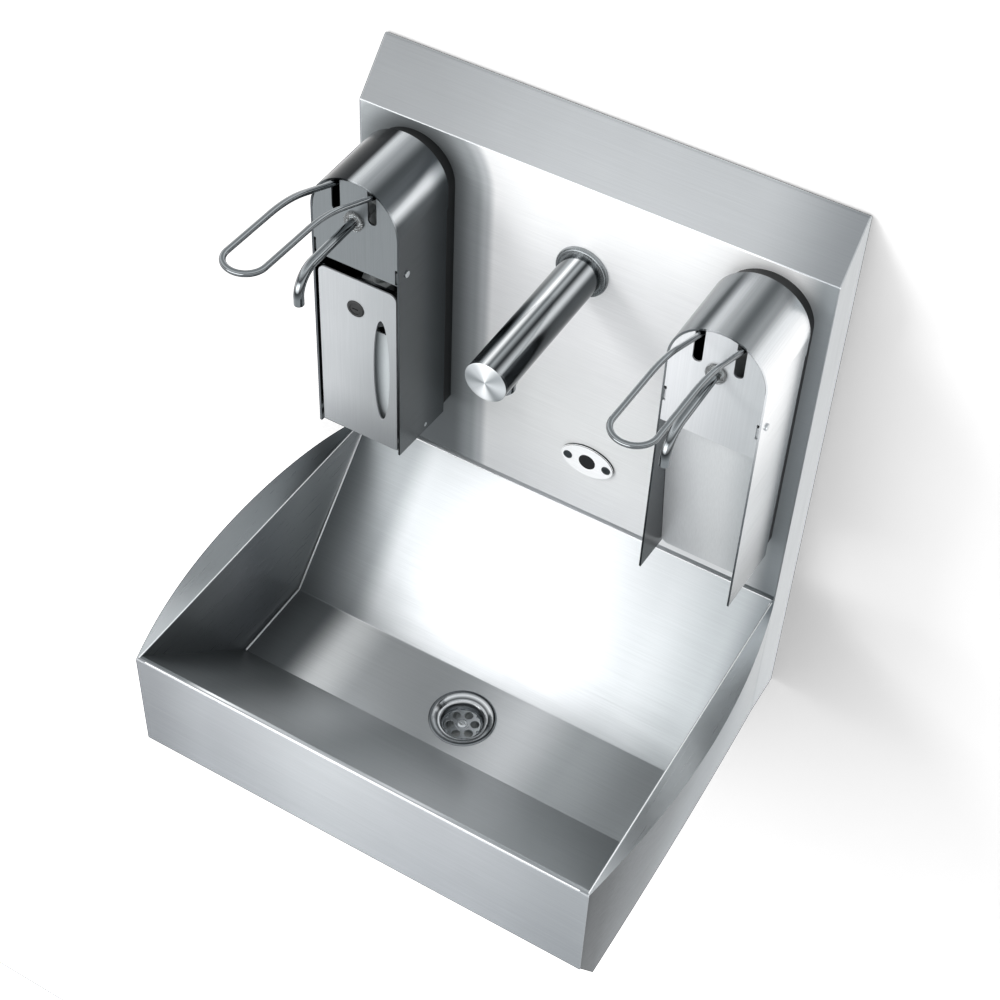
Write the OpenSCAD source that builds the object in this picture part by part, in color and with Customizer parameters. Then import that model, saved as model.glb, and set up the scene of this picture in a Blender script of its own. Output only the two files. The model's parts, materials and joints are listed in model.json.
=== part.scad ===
// Wall-hung stainless steel hand wash sink with a sensor spout and two arm-lever dispensers.
// Millimetres. X runs along the wall, the wall is the plane Y = 0, the user stands on the -Y side, Z is up.
// The rim of the basin and the centre of the four wall bolts are at Z = 0.
// Places named "..._out" are distances from the wall.

/* [Splash panel] */
// width of the splash panel
panel_w = 500; // [470:1:540]
// front face of the panel from the wall
panel_out = 49.6; // [48:0.1:56]
// height of the upright face above the rim
face_h = 426.6; // [426:0.1:460]
// height of the top edge above the rim
top_h = 479.5; // [470:0.1:520]
// sheet thickness
sheet_t = 1.2; // [1:0.1:1.5]
// inner bend radius of the folded sheets
bend_r = 3; // [2:0.1:5]
// depth of the lip that lies on the wall
wall_lip = 16; // [8:0.5:25]

/* [Basin] */
// width across the front
front_w = 512; // [500:1:560]
// front of the apron from the wall
basin_out = 456; // [430:1:520]
// depth of the bowl below the rim
bowl_depth = 151.5; // [130:0.5:165]
// rear edge of the flat floor from the wall
floor_rear_out = 196; // [185:1:200]
// front edge of the flat floor from the wall
floor_front_out = 298; // [292:1:320]
// flat rim along the front
front_rim = 6; // [4:0.1:10]
// height of the front apron
apron_h = 131; // [110:1:150]
// turned-in edge at the apron's foot
apron_return = 12; // [8:0.5:20]
// upstand of the bowl sheet at the panel's foot
upstand_h = 6; // [5:0.1:12]

/* [Side sheets] */
// depth of the side sheets below the rim
side_drop = 186; // [170:1:200]
// setback of the cut lower front corner
corner_back = 33; // [20:1:50]
// how far the curved crest stands out at mid length
crest_out = 25.5; // [10:0.5:35]
// how far the curved crest rises at mid length
crest_lift = 9.5; // [4:0.1:15]
// bow of the lower edge at mid length
side_bow = 2.4; // [0:0.1:4]
// width of the straight folded rim
rim_fold = 1.5; // [1.3:0.1:2.5]

/* [Waste] */
// waste centre from the wall
waste_out = 250; // [246:0.5:252]
// radius of the waste flange
flange_r = 36.5; // [35:0.5:40]
// radius of the flange's inner mouth
mouth_r = 25; // [24:0.1:26]
// radius of the hole in the floor
floor_hole_r = 33; // [32.5:0.1:34]
// depth of the strainer below the floor
strainer_deep = 11; // [8:0.5:14]
// radius of the strainer disc
strainer_r = 19.7; // [19:0.1:21]
// radius of each opening in the strainer
strainer_hole_r = 4.8; // [3.5:0.1:5]
// number of openings in the strainer
strainer_holes = 6; // [5:1:6]
// outer radius of the tail pipe
tail_r = 20; // [16:0.5:22]
// length of the tail pipe that stands free
tail_l = 60; // [42:1:80]
// wall of the waste parts
waste_t = 2; // [1.5:0.1:3]

/* [Tap] */
// height of the spout's axis above the rim
spout_h = 329; // [310:1:345]
// radius of the spout tube
spout_r = 21.5; // [18:0.1:24]
// length of the spout from the panel to the rim of its end
spout_l = 179.4; // [150:1:200]
// rise of the end's face in its middle
dome_h = 1.2; // [0.8:0.1:3]
// radius of the rosette
rosette_r = 28; // [26:0.1:34]
// thickness of the rosette
rosette_t = 5; // [3:0.1:8]
// outlet centre, back from the rim of the end
outlet_back = 33.5; // [24:0.5:42]
// radius of the outlet
outlet_r = 12; // [9:0.1:12.5]
// how far the outlet stands below the tube
outlet_drop = 11.5; // [5:0.1:14]

/* [Sensor] */
// sensor centre, right of the middle
sensor_x = 24.6; // [20:0.1:40]
// sensor centre above the rim
sensor_h = 82.5; // [70:0.5:100]
// half width of the plate
sensor_half_w = 30.8; // [30:0.1:36]
// half height of the plate
sensor_half_h = 20.6; // [17:0.1:24]
// thickness of the plate
sensor_t = 3; // [2:0.1:6]
// radius of the eye
eye_r = 9.5; // [8.5:0.1:10]
// screw places, either side of the eye
sensor_screw_x = 22.4; // [20:0.1:23]

/* [Dispensers] */
// dispenser centre from the middle
disp_x = 187.9; // [180:0.1:190]
// outer radius of the arch, half the housing's width
disp_r = 49; // [46:0.1:52]
// centre of the arch above the rim
arch_h = 375.7; // [372:0.1:377]
// front edge of the housing from the wall
disp_front = 154.8; // [150:0.1:165]
// rear edge of the housing from the wall
disp_rear = 67.3; // [64:0.1:70]
// foot of the housing at its front edge
foot_front_h = 91; // [86:0.5:94]
// foot of the housing at its rear edge
foot_rear_h = 83; // [78:0.5:88]
// housing sheet thickness
disp_t = 2; // [1.5:0.1:2.2]
// lower edge of the left front plate below the arch's centre
plate_fall_left = 55.7; // [54.7:0.5:57.7]
// lower edge of the right front plate below the arch's centre
plate_fall_right = 79.2; // [71.2:0.5:85.7]
// side screw centre below the arch's centre
side_screw_fall = 48.7; // [44.7:0.5:48.7]
// side screw centre from the wall
side_screw_out = 141.6; // [138:0.1:145]

/* [Levers] */
// axle from the wall
axle_out = 85; // [83:0.5:88]
// axle above the arch's centre
axle_rise = 8.3; // [6.8:0.5:9.3]
// axle radius
axle_r = 3; // [2:0.1:3.5]
// legs either side of the middle
leg_x = 20; // [19:0.1:21]
// radius of the lever wire
wire_r = 2.75; // [2.2:0.05:3]
// rise of the straight inner legs, degrees
leg_rise = 23.5; // [22:0.5:24]
// length of the straight inner legs
leg_l = 129; // [120:1:140]
// radius of the bend between the runs
leg_bend_r = 150; // [100:5:200]
// rise of the outer run, degrees
tip_rise = 3; // [0:0.5:6]
// length of the straight outer run
tip_l = 64; // [40:1:80]

/* [Pumps] */
// pump axis from the wall
pump_out = 116; // [114:0.5:118]
// radius of the pump cylinder
pump_r = 13; // [12:0.1:13.5]
// top of the pump above the arch's centre
pump_top_rise = 9.3; // [7.8:0.5:9.8]
// height of the dose tube's level run above the arch's centre
tube_rise = 2.3; // [1.3:0.1:2.8]
// radius of the dose tube
tube_r = 4.75; // [4:0.05:5]
// reach of the dose tube's outlet from the wall
tube_out = 247; // [220:1:270]
// radius of the dose tube's bend
tube_bend_r = 25; // [20:0.5:30]
// how far the dose tube turns down from its level run
tube_fall = 33; // [28:0.5:43]
// radius of the clear sleeve's disc
nipple_r = 10.5; // [9.5:0.1:12]

/* [Cover and lock] */
// top of the cover below the arch's centre
cover_fall = 71.7; // [67.7:0.5:72.7]
// foot of the cover above the rim
cover_low_h = 94; // [92:0.5:95]
// gap between the cover and each side wall
cover_gap = 2.4; // [1:0.1:3]
// front of the cover from the wall
cover_out = 153.3; // [152:0.1:154.5]
// cover sheet thickness
cover_t = 2; // [1.5:0.1:2.5]
// radius of the cover's top corners
cover_corner_r = 8; // [4:0.5:15]
// cover pin from the wall
pin_out = 105; // [100:0.5:110]
// cover pin above the rim
pin_h = 94; // [94:0.1:96]
// cover pin radius
pin_r = 2.5; // [2:0.1:2.6]
// window height as a share of the cover's height
window_h_share = 0.64; // [0.48:0.005:0.66]
// window width
window_w = 18.5; // [14:0.5:22]
// window centre, right of the dispenser's middle
window_x = 27; // [24:0.5:28]
// window centre up the cover's height, as a share
window_mid_share = 0.493; // [0.46:0.005:0.505]
// lock centre below the cover's top
lock_fall = 37; // [35:0.5:39]
// lock centre, left of the dispenser's middle
lock_left = 2; // [0:0.5:5]
// radius of the lock's face
lock_r = 9.8; // [9:0.1:11]

/* [Wall frame] */
// wall bolt spacing across
bolt_span_x = 380; // [360:1:384]
// wall bolt spacing up and down
bolt_span_z = 300; // [290:1:310]
// wall bolt hole radius
bolt_hole_r = 4.5; // [3.5:0.1:5.5]
// frame plate thickness
frame_t = 2.5; // [2:0.1:3]

/* [Hidden] */
$fn = 48;
cut_over = 1;
fit_gap = 0.3;
run_gap = 0.1;

// outline helpers
function unit(v) = v / norm(v);
function left_of(a, b) = let (d = unit(b - a)) [-d[1], d[0]];
function mitre(a, b, c, t) =
    let (m = left_of(a, b) + left_of(b, c)) b + m * t * 2 / (m * m);
function shifted(p, t) = [for (i = [0 : len(p) - 1])
    i == 0 ? p[0] + left_of(p[0], p[1]) * t
    : i == len(p) - 1 ? p[i] + left_of(p[i - 1], p[i]) * t
    : mitre(p[i - 1], p[i], p[i + 1], t)];
function turn(a, b) = a[0] * b[1] - a[1] * b[0];
// a line of points whose inner corners are rounded to radius r
function bent(p, r, n) = [for (i = [0 : len(p) - 1])
    each (i == 0 || i == len(p) - 1) ? [p[i]]
    : let (u = unit(p[i - 1] - p[i]), v = unit(p[i + 1] - p[i]), half = acos(u * v) / 2,
        c = p[i] + unit(u + v) * r / sin(half), a = p[i] + u * r / tan(half) - c,
        start = atan2(a[1], a[0]), sweep = (turn(u, v) > 0 ? -1 : 1) * (180 - 2 * half))
        [for (k = [0 : n]) c + r * [cos(start + sweep * k / n), sin(start + sweep * k / n)]]];
function back(p) = [for (i = [len(p) - 1 : -1 : 0]) p[i]];
bend_steps = 5;

// a sheet of thickness t along an outline of [distance from wall, height] points
module sheet_outline(p, t) polygon(concat(p, back(shifted(p, t))));
// an outline of [distance from wall, height] points drawn out along X from x0 to x1
module along_x(x0, x1)
    translate([x0, 0, 0]) rotate([90, 0, 90]) linear_extrude(x1 - x0) mirror([1, 0]) children();
// an outline of [x, height] points drawn out away from the wall
module outward(o0, o1)
    translate([0, -o0, 0]) rotate([90, 0, 0]) linear_extrude(o1 - o0) children();
module block(x0, x1, o0, o1, z0, z1)
    translate([x0, -o1, z0]) cube([x1 - x0, o1 - o0, z1 - z0]);
// round bar square to the wall
module rod_out(x, z, r, o0, o1) translate([x, -o0, z]) rotate([90, 0, 0]) cylinder(r = r, h = o1 - o0);
// round bar along X
module rod_x(o, z, r, x0, x1) translate([x0, -o, z]) rotate([0, 90, 0]) cylinder(r = r, h = x1 - x0);
// upright round bar
module rod_z(x, o, r, z0, z1) translate([x, -o, z0]) cylinder(r = r, h = z1 - z0);
// turned shape with its axis square to the wall: points are [radius, distance from o]
module turned_out(x, o, z) translate([x, -o, z]) rotate([90, 0, 0]) rotate_extrude() children();
// turned upright shape: points are [radius, height]
module turned_up(x, o) translate([x, -o, 0]) rotate_extrude() children();
module hex_out(x, z, r, o0, o1)
    translate([x, -o0, z]) rotate([90, 0, 0]) cylinder(r = r, h = o1 - o0, $fn = 6);
module both_sides() {
    children();
    mirror([1, 0, 0]) children();
}

// splash panel and basin
half_w = panel_w / 2;
half_front = front_w / 2;
panel_back = panel_out - sheet_t;
apron_back = basin_out - sheet_t;
corner_out = basin_out - corner_back;
// half width of the straight rim at a distance from the wall
function rim_x(o) = half_w + (half_front - half_w) * max(0, (o - panel_out) / (basin_out - panel_out));
apron_seam = basin_out - bend_r - sheet_t / 4;

panel_line = bent([[0, top_h - wall_lip], [0, top_h], [panel_out, face_h], [panel_out, upstand_h]],
    bend_r, bend_steps);
bowl_line = bent([[panel_out, upstand_h], [panel_out, 0], [floor_rear_out, -bowl_depth],
    [floor_front_out, -bowl_depth], [basin_out - front_rim, 0], [apron_seam, 0]], bend_r, bend_steps);
apron_line = bent([[apron_seam, 0], [basin_out, 0], [basin_out, -apron_h],
    [basin_out - apron_return, -apron_h]], bend_r, bend_steps);

// waste
waste_z = -bowl_depth;
seal_t = 3;
flange_t = 1.3;
flange_dip = 3;
flange_flat = 4;
cup_deep = 26;
cup_thread_r = mouth_r + 1;
ledge_r = strainer_r + fit_gap;
cup_low = waste_z - cup_deep;
collar_r = tail_r + waste_t + run_gap;
nut_r = 37;
nut_t = 9;
floor_under = waste_z - sheet_t;
seal_low = floor_under - seal_t;
shank_low = cup_low - 22;
strainer_z = waste_z - strainer_deep;
strainer_t = 2;
strainer_post_r = 3;
strainer_ring_share = 0.68;
strainer_hub_r = 7.4;
strainer_hub_t = 0.8;
strainer_seat = strainer_z + strainer_hub_t;
strainer_screw_r = 5.4;
strainer_screw_t = 2.2;
strainer_notch_r = 2;
tail_low = shank_low - tail_l;
tail_in = 14;

// tap
rosette_out = panel_out + rosette_t;
rosette_neck_r = spout_r + 2;
rosette_groove = 0.9;
spout_end = panel_out + spout_l;
spout_wall = 2;
cap_t = 2.4;
cap_in = 3;
cap_seat = spout_end - cap_t;
outlet_out = spout_end - outlet_back;
outlet_low = spout_h - spout_r - outlet_drop;
shank_r = 14;
shank_out = 22;
spout_nut_r = 22;
spout_nut_t = 6;
elbow_r = 10;
elbow_drop = 24;
elbow_low = spout_h - elbow_drop;
elbow_in = 12;
hose_r = 6;
hose_out = 25;

// water supply
valve_x = 0;
valve_half_w = 15;
valve_top = 158;
valve_low = 114;
valve_in = 10;
inlet_r = 7.5;
inlet_thread_r = 10.48;
inlet_thread_l = 16;
inlet_low = -70;
inlet_nut_r = 15;
inlet_nut_l = 10;
hose_crimp_r = 8;
hose_crimp_l = 14;
box_x0 = 66;
box_x1 = 136;
box_z0 = 52;
box_z1 = 146;
box_in = 14;
cable_r = 2.2;
cable_out = 30;

// sensor
sensor_pow_share = 1.04;
sensor_front = panel_out + sensor_t;
sensor_edge = 0.8;
sensor_body_r = 8.2;
sensor_body_in = 16;
sensor_screw_r = 5;
sensor_shank_r = 1.5;
function signed_pow(v, p) = sign(v) * abs(v) ^ p;
function oval(a, b, p, n) = [for (k = [0 : n - 1]) let (q = 360 * k / n)
    [a * signed_pow(cos(q), p), b * signed_pow(sin(q), p)]];

// dispensers
disp_in = disp_r - disp_t;
plate_low_left = arch_h - plate_fall_left;
plate_low_right = arch_h - plate_fall_right;
side_screw_h = arch_h - side_screw_fall;
axle_h = arch_h + axle_rise;
pump_top_h = arch_h + pump_top_rise;
tube_h = arch_h + tube_rise;
outlet_h = tube_h - tube_fall;
cover_top_h = arch_h - cover_fall;
window_h = window_h_share * (cover_top_h - cover_low_h);
window_mid_h = cover_low_h + window_mid_share * (cover_top_h - cover_low_h);
lock_h = cover_top_h - lock_fall;
backplate_t = 2;
backplate_front = disp_rear + backplate_t;
spacer_in = 1.5;
spacer_r = disp_in - spacer_in;
spacer_t = 2;
spacer_drop = 5;
spacer_low = 89;
rear_step = 2.4;
rear_step_h = arch_h - 20.7;
tab_h = 12;
tab_t = 2;
notch_w = 2.5;
notch_h = 18;
notch_under = 0.5;
tab_end = side_screw_out - 6;
screw_head_r = 3.6;
screw_head_t = 1.6;
screw_shank_r = 2;
plate_back = disp_front - disp_t;
slot_w = 9.6;
slot_rise = 6.3;
slot_low = arch_h + slot_rise;
bolt_r = 3;
bolt_head_r = 5.8;
bolt_head_t = 4;
bolt_x = 20;
bolt_low_h = 130;
bolt_fall = 25.7;
bolt_high_h = arch_h - bolt_fall;
bolt_rows = [bolt_low_h, bolt_high_h];
bolt_nut_t = 5;
ear_x = 28;
ear_t = 2;
ear_r = 9;
shelf_fall = 35.7;
shelf_z = arch_h - shelf_fall;
shelf_t = 2;
shelf_half = 22;
axle_end = 1.5;

// levers
// the straight runs end inside the bends, a hair thinner
run_r = wire_r - 0.05;
wire_lap = 1;
boss_r = 6;
boss_half = ear_x - ear_t / 2 - fit_gap;
bar_along = 36.1;
bar_r = 2.5;
bar_out = axle_out + bar_along * cos(leg_rise);
bar_h = axle_h + bar_along * sin(leg_rise);
knee_out = axle_out + leg_l * cos(leg_rise);
knee_h = axle_h + leg_l * sin(leg_rise);
bend_mid_out = knee_out + leg_bend_r * sin(leg_rise);
bend_mid_h = knee_h - leg_bend_r * cos(leg_rise);
run_out = bend_mid_out - leg_bend_r * sin(tip_rise);
run_h = bend_mid_h + leg_bend_r * cos(tip_rise);
loop_out = run_out + tip_l * cos(tip_rise);
loop_h = run_h + tip_l * sin(tip_rise);

// pumps
pump_low_in = 10;
pump_low_h = shelf_z - pump_low_in;
pump_flange_r = 16;
pump_flange_t = 3;
chamber_r = 9;
chamber_low = shelf_z;
chamber_top = pump_top_h - 4;
stem_r = 8;
collar_fall = 60;
collar_h = 16;
collar_top = shelf_z - collar_fall;
collar_low = collar_top - collar_h;
pump_collar_r = 16;
suction_r = 2.5;
spigot_r = 6.6;
spigot_end = disp_front - 4.8;
tube_start = pump_out + pump_r + 3;
tube_bore_r = tube_r - 0.9;
piston_rod_r = 3.5;
piston_cap_r = 8;
piston_cap_t = 2;
piston_top = bar_h - bar_r - fit_gap;
piston_head_top = chamber_top - 14;
piston_head_t = 5;
spring_r = 7.6;
spring_wire = 1.6;
nipple_t = 2.5;
nipple_body_r = 8;
nipple_in = 15;
tube_knee = tube_out - tube_bend_r;

// cover, lock and bottle
cover_half = disp_in - cover_gap;
cover_back = cover_out - cover_t;
ear_w = 1.5;
ear_high = pin_h + 7;
ear_end_r = 6;
lock_face_t = 1.5;
lock_sleeve_r = 8;
lock_plug_r = 6;
lock_nut_r = 11.5;
lock_nut_t = 3;
cam_t = 2;
cam_gap = 0.5;
latch_t = 3;
latch_out = 144;
latch_fall = 3;
latch_h = 8;
latch_h1 = cover_top_h - latch_fall;
latch_h0 = latch_h1 - latch_h;
cam_front = latch_out - cam_gap;
cam_half_w = 5.5;
cam_reach = 31;
key_w = 1.2;
key_l = 6.5;
rest_h = 106;
rest_t = 2;
rest_half = 42;
rest_front = 147;
bottle_half = 38;
bottle_front = 145;
bottle_rear = 81;
bottle_corner = 10;
shoulder_fall = 8;
shoulder_h = 16;
neck_gap = 3;
neck_top = collar_top - neck_gap;
shoulder_top = collar_low - shoulder_fall;
bottle_top = shoulder_top - shoulder_h;
bottle_wall = 1.5;
neck_r = 14;
dip_r = 3;
dip_low = rest_h + 12;
guard_t = 1.5;
guard_foot_h = 87;
guard_foot_out = 110.6;
guard_top_h = side_screw_h - tab_h / 2 - 3;
guard_ear_r = 5;
guard_ear_fall = 85.7;
guard_ear_low_h = arch_h - guard_ear_fall;
guard_corner_r = 8;

// wall frame
rail_top = 170;
rail_low = 128;
post_half = 16;
post_x0 = bolt_span_x / 2 - post_half;
post_x1 = bolt_span_x / 2 + post_half;
rail_half = post_x1;
post_low = -side_drop;
cleat_out = 14;
cleat_h = 16;
cleat_in = 62;
hook_gap = 0.5;
hook_t = 2;
hook_top = rail_top + cleat_h + hook_t;
hook_drop = 22;
hook_low = rail_low + hook_drop;
tie_rise = 2;
tie_h = 18;
tie_h0 = tie_rise - side_drop;
tie_h1 = tie_h0 + tie_h;
tie_leg = 34;
tie_t = 2;
tie_screw_r = 2.5;

/* nodes */

// flat plate on the wall with four bolt holes and a cleat that the sink hangs on
module wall_frame() color("#8c9195") difference() {
    union() {
        block(-rail_half, rail_half, 0, frame_t, rail_low, rail_top);
        both_sides() {
            block(post_x0, post_x1, 0, frame_t, post_low, rail_low + cut_over);
            block(cleat_in, rail_half, 0, cleat_out, rail_top - frame_t, rail_top);
            block(cleat_in, rail_half, cleat_out - frame_t, cleat_out, rail_top - frame_t, rail_top + cleat_h);
        }
    }
    for (x = [-1, 1] * bolt_span_x / 2, z = [-1, 1] * bolt_span_z / 2)
        rod_out(x, z, bolt_hole_r, -cut_over, frame_t + cut_over);
    for (s = [-1, 1])
        rod_out(s * (post_x0 + post_x1) / 2, (tie_h0 + tie_h1) / 2, tie_screw_r, -cut_over, frame_t + cut_over);
}

// folded strip on the panel's back whose lip drops behind the cleat
module hook_rail() color("#a3a8ac") both_sides()
    along_x(cleat_in, rail_half)
        sheet_outline([[panel_back - hook_t, hook_low], [panel_back - hook_t, hook_top - hook_t],
            [cleat_out - frame_t - hook_gap, hook_top - hook_t],
            [cleat_out - frame_t - hook_gap, rail_top + hook_t]], -hook_t);

module splash_panel() color("#c9ccd0") difference() {
    along_x(-half_w + sheet_t, half_w - sheet_t) sheet_outline(panel_line, -sheet_t);
    rod_out(0, spout_h, shank_r + fit_gap, panel_back - cut_over, panel_out + cut_over);
    rod_out(sensor_x, sensor_h, sensor_body_r + fit_gap, panel_back - cut_over, panel_out + cut_over);
    for (s = [-1, 1]) {
        rod_out(sensor_x + s * sensor_screw_x, sensor_h, sensor_shank_r, panel_back - cut_over,
            panel_out + cut_over);
        for (b = [-1, 1], z = bolt_rows)
            rod_out(s * disp_x + b * bolt_x, z, bolt_r, panel_back - cut_over, panel_out + cut_over);
    }
}

// stations of the side sheet, from the panel to the apron
steps_long = 34;
steps_corner = 6;
stations = concat(
    [for (i = [0 : steps_long]) panel_out + (corner_out - panel_out) * i / steps_long],
    [for (i = [1 : steps_corner]) corner_out + (apron_back - corner_out) * i / steps_corner]);
function way(o) = max(0, (o - panel_out) / (apron_back - panel_out));
function arc_share(u) = 1 - (2 * u - 1) ^ 2;
function flat_share(u) = 1 - (2 * u - 1) ^ 4;
function foot_z(o) = o <= corner_out ? -side_drop
    : -side_drop + (side_drop - apron_h) * (o - corner_out) / (apron_back - corner_out);
function side_ring(o) =
    let (u = way(o), x = rim_x(o), xb = x + crest_out * arc_share(u), zb = crest_lift * flat_share(u),
        xc = x + side_bow * arc_share(u), zc = foot_z(o))
    [[x - rim_fold, -o, 0], [xb, -o, zb], [xc, -o, zc], [xc - sheet_t, -o, zc],
        [xb - sheet_t, -o, zb - sheet_t], [x - rim_fold, -o, -sheet_t]];
ring_n = 6;
last_ring = len(stations) - 1;
module side_skirt()
    polyhedron(points = [for (o = stations) each side_ring(o)],
        faces = concat(
            [[5, 4, 1, 0], [4, 3, 2, 1]],
            [for (f = [[0, 1, 4, 5], [1, 2, 3, 4]]) [for (k = f) last_ring * ring_n + k]],
            [for (i = [0 : last_ring - 1], k = [0 : ring_n - 1], h = [0, 1])
                let (a = i * ring_n + k, b = i * ring_n + (k + 1) % ring_n, c = b + ring_n, d = a + ring_n)
                h == 0 ? [a, b, c] : [a, c, d]]),
        convexity = 6);
side_line = concat([[0, -side_drop], [panel_out, -side_drop]],
    back([for (i = [1 : len(panel_line) - 1]) panel_line[i]]));
module side_sheet() color("#b4b8bc") {
    along_x(half_w - sheet_t, half_w) polygon(side_line);
    side_skirt();
}
module side_right() side_sheet();
module side_left() mirror([1, 0, 0]) side_sheet();

// bowl: folded floor sheet between two end walls
module plan(o0, o1, x_in, x_out)
    linear_extrude(bowl_depth * 3, center = true)
        polygon([[rim_x(o0) - x_out, -o0], [rim_x(o0) - x_in, -o0], [rim_x(o1) - x_in, -o1],
            [rim_x(o1) - x_out, -o1]]);
module basin_bowl() color("#b9bdc1") difference() {
    union() {
        intersection() {
            along_x(-half_front, half_front) sheet_outline(bowl_line, -sheet_t);
            linear_extrude(bowl_depth * 3, center = true)
                polygon([[half_w - rim_fold, -panel_back], [half_w - rim_fold, -panel_out],
                    [rim_x(apron_seam) - rim_fold, -apron_seam], [-rim_x(apron_seam) + rim_fold, -apron_seam],
                    [-half_w + rim_fold, -panel_out], [-half_w + rim_fold, -panel_back]]);
        }
        both_sides() intersection() {
            along_x(0, half_front)
                polygon([[panel_out, 0], [floor_rear_out, floor_under], [floor_front_out, floor_under],
                    [apron_seam, 0]]);
            plan(panel_out, apron_seam, rim_fold, rim_fold + sheet_t);
        }
    }
    rod_z(0, waste_out, floor_hole_r, waste_z - bowl_depth, waste_z + cut_over);
}

module front_apron() color("#c2c5c9") {
    along_x(-rim_x(apron_seam) + rim_fold, rim_x(apron_seam) - rim_fold) sheet_outline(apron_line, -sheet_t);
    along_x(-half_front, half_front) polygon([[apron_back, 0], [basin_out, -bend_r / 3], [basin_out, -apron_h],
        [apron_back, -apron_h]]);
}

// angles that tie the foot of each side sheet to the wall frame
module lower_ties() color("#8c9195") both_sides() {
    block(half_w - sheet_t - tie_t, half_w - sheet_t, frame_t, frame_t + tie_leg, tie_h0, tie_h1);
    difference() {
        block(post_x0, half_w - sheet_t, frame_t, frame_t + tie_t, tie_h0, tie_h1);
        rod_out((post_x0 + post_x1) / 2, (tie_h0 + tie_h1) / 2, tie_screw_r, frame_t - cut_over,
            frame_t + tie_t + cut_over);
    }
}
module tie_screws() color("#6f7478") both_sides() {
    rod_out((post_x0 + post_x1) / 2, (tie_h0 + tie_h1) / 2, tie_screw_r, 0, frame_t + tie_t);
    hex_out((post_x0 + post_x1) / 2, (tie_h0 + tie_h1) / 2, tie_screw_r * 2, frame_t + tie_t,
        frame_t + tie_t + tie_screw_r);
}

// dished flange, tapering cup with a ledge for the strainer, and threaded shank, in one turned piece
module waste_flange() color("#9aa0a4") turned_up(0, waste_out)
    polygon([[flange_r, waste_z], [flange_r, waste_z + flange_t / 2], [flange_r - flange_t, waste_z + flange_t],
        [flange_r - flange_flat, waste_z + flange_t * 0.7], [mouth_r + flange_t, waste_z - flange_dip],
        [mouth_r, waste_z - flange_dip - flange_t * 0.1], [mouth_r - waste_t, waste_z - flange_dip - waste_t],
        [ledge_r, strainer_z], [ledge_r, strainer_z - strainer_t], [tail_r - waste_t, strainer_z - strainer_t],
        [tail_r - waste_t, shank_low], [tail_r + waste_t, shank_low], [tail_r + waste_t, cup_low],
        [cup_thread_r, cup_low + waste_t], [cup_thread_r, waste_z - flange_dip * 1.3],
        [floor_hole_r - fit_gap, floor_under - flange_t / 6], [floor_hole_r - fit_gap, waste_z]]);
module waste_seal() color("#1d1e20") turned_up(0, waste_out)
    polygon([[cup_thread_r + fit_gap, seal_low], [flange_r, seal_low], [flange_r, floor_under],
        [floor_hole_r + fit_gap / 2, floor_under], [floor_hole_r - fit_gap / 2, floor_under - flange_t / 2]]);
module waste_nut() color("#d8d9da") difference() {
    union() {
        translate([0, -waste_out, seal_low - nut_t]) cylinder(r = nut_r, h = nut_t, $fn = 8);
        rod_z(0, waste_out, flange_r, seal_low - nut_t / 3, seal_low);
    }
    rod_z(0, waste_out, cup_thread_r, seal_low - nut_t - cut_over, seal_low + cut_over);
}
module strainer() color("#a9aeb2") {
    difference() {
        union() {
            rod_z(0, waste_out, strainer_r, strainer_z - strainer_t, strainer_z);
            rod_z(0, waste_out, strainer_hub_r, strainer_z - strainer_t, strainer_z + strainer_hub_t);
        }
        for (k = [0 : strainer_holes - 1])
            rod_z(strainer_r * strainer_ring_share * cos(30 + k * 360 / strainer_holes),
                waste_out + strainer_r * strainer_ring_share * sin(30 + k * 360 / strainer_holes),
                strainer_hole_r, strainer_z - strainer_t - cut_over, strainer_z + cut_over);
        for (k = [0 : strainer_holes - 1])
            rod_z(strainer_r * cos(k * 360 / strainer_holes), waste_out + strainer_r * sin(k * 360 / strainer_holes),
                strainer_notch_r, strainer_z - strainer_t - cut_over, strainer_z + cut_over);
        rod_z(0, waste_out, strainer_post_r, strainer_z - strainer_t - cut_over, strainer_seat + cut_over);
    }
}
module strainer_screw() color("#c4c7ca") difference() {
    union() {
        turned_up(0, waste_out)
            polygon([[0, strainer_z - strainer_t * 4], [strainer_post_r, strainer_z - strainer_t * 4],
                [strainer_post_r, strainer_seat], [strainer_screw_r, strainer_seat],
                [strainer_screw_r, strainer_seat + strainer_screw_t * 0.5],
                [strainer_screw_r * 0.6, strainer_seat + strainer_screw_t], [0, strainer_seat + strainer_screw_t]]);
    }
    block(-strainer_screw_r, strainer_screw_r, waste_out - strainer_post_r / 5, waste_out + strainer_post_r / 5,
        strainer_seat + strainer_screw_t / 2, strainer_seat + strainer_screw_t + cut_over);
}
module tail_pipe() color("#c9cbcd") turned_up(0, waste_out)
    polygon([[tail_r - waste_t * 2, tail_low], [tail_r, tail_low], [tail_r, shank_low - tail_in],
        [collar_r + waste_t * 2, shank_low - tail_in], [collar_r + waste_t * 2, shank_low + tail_in / 2],
        [collar_r, shank_low + tail_in / 2], [collar_r, shank_low], [tail_r - waste_t * 2, shank_low]]);

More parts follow.
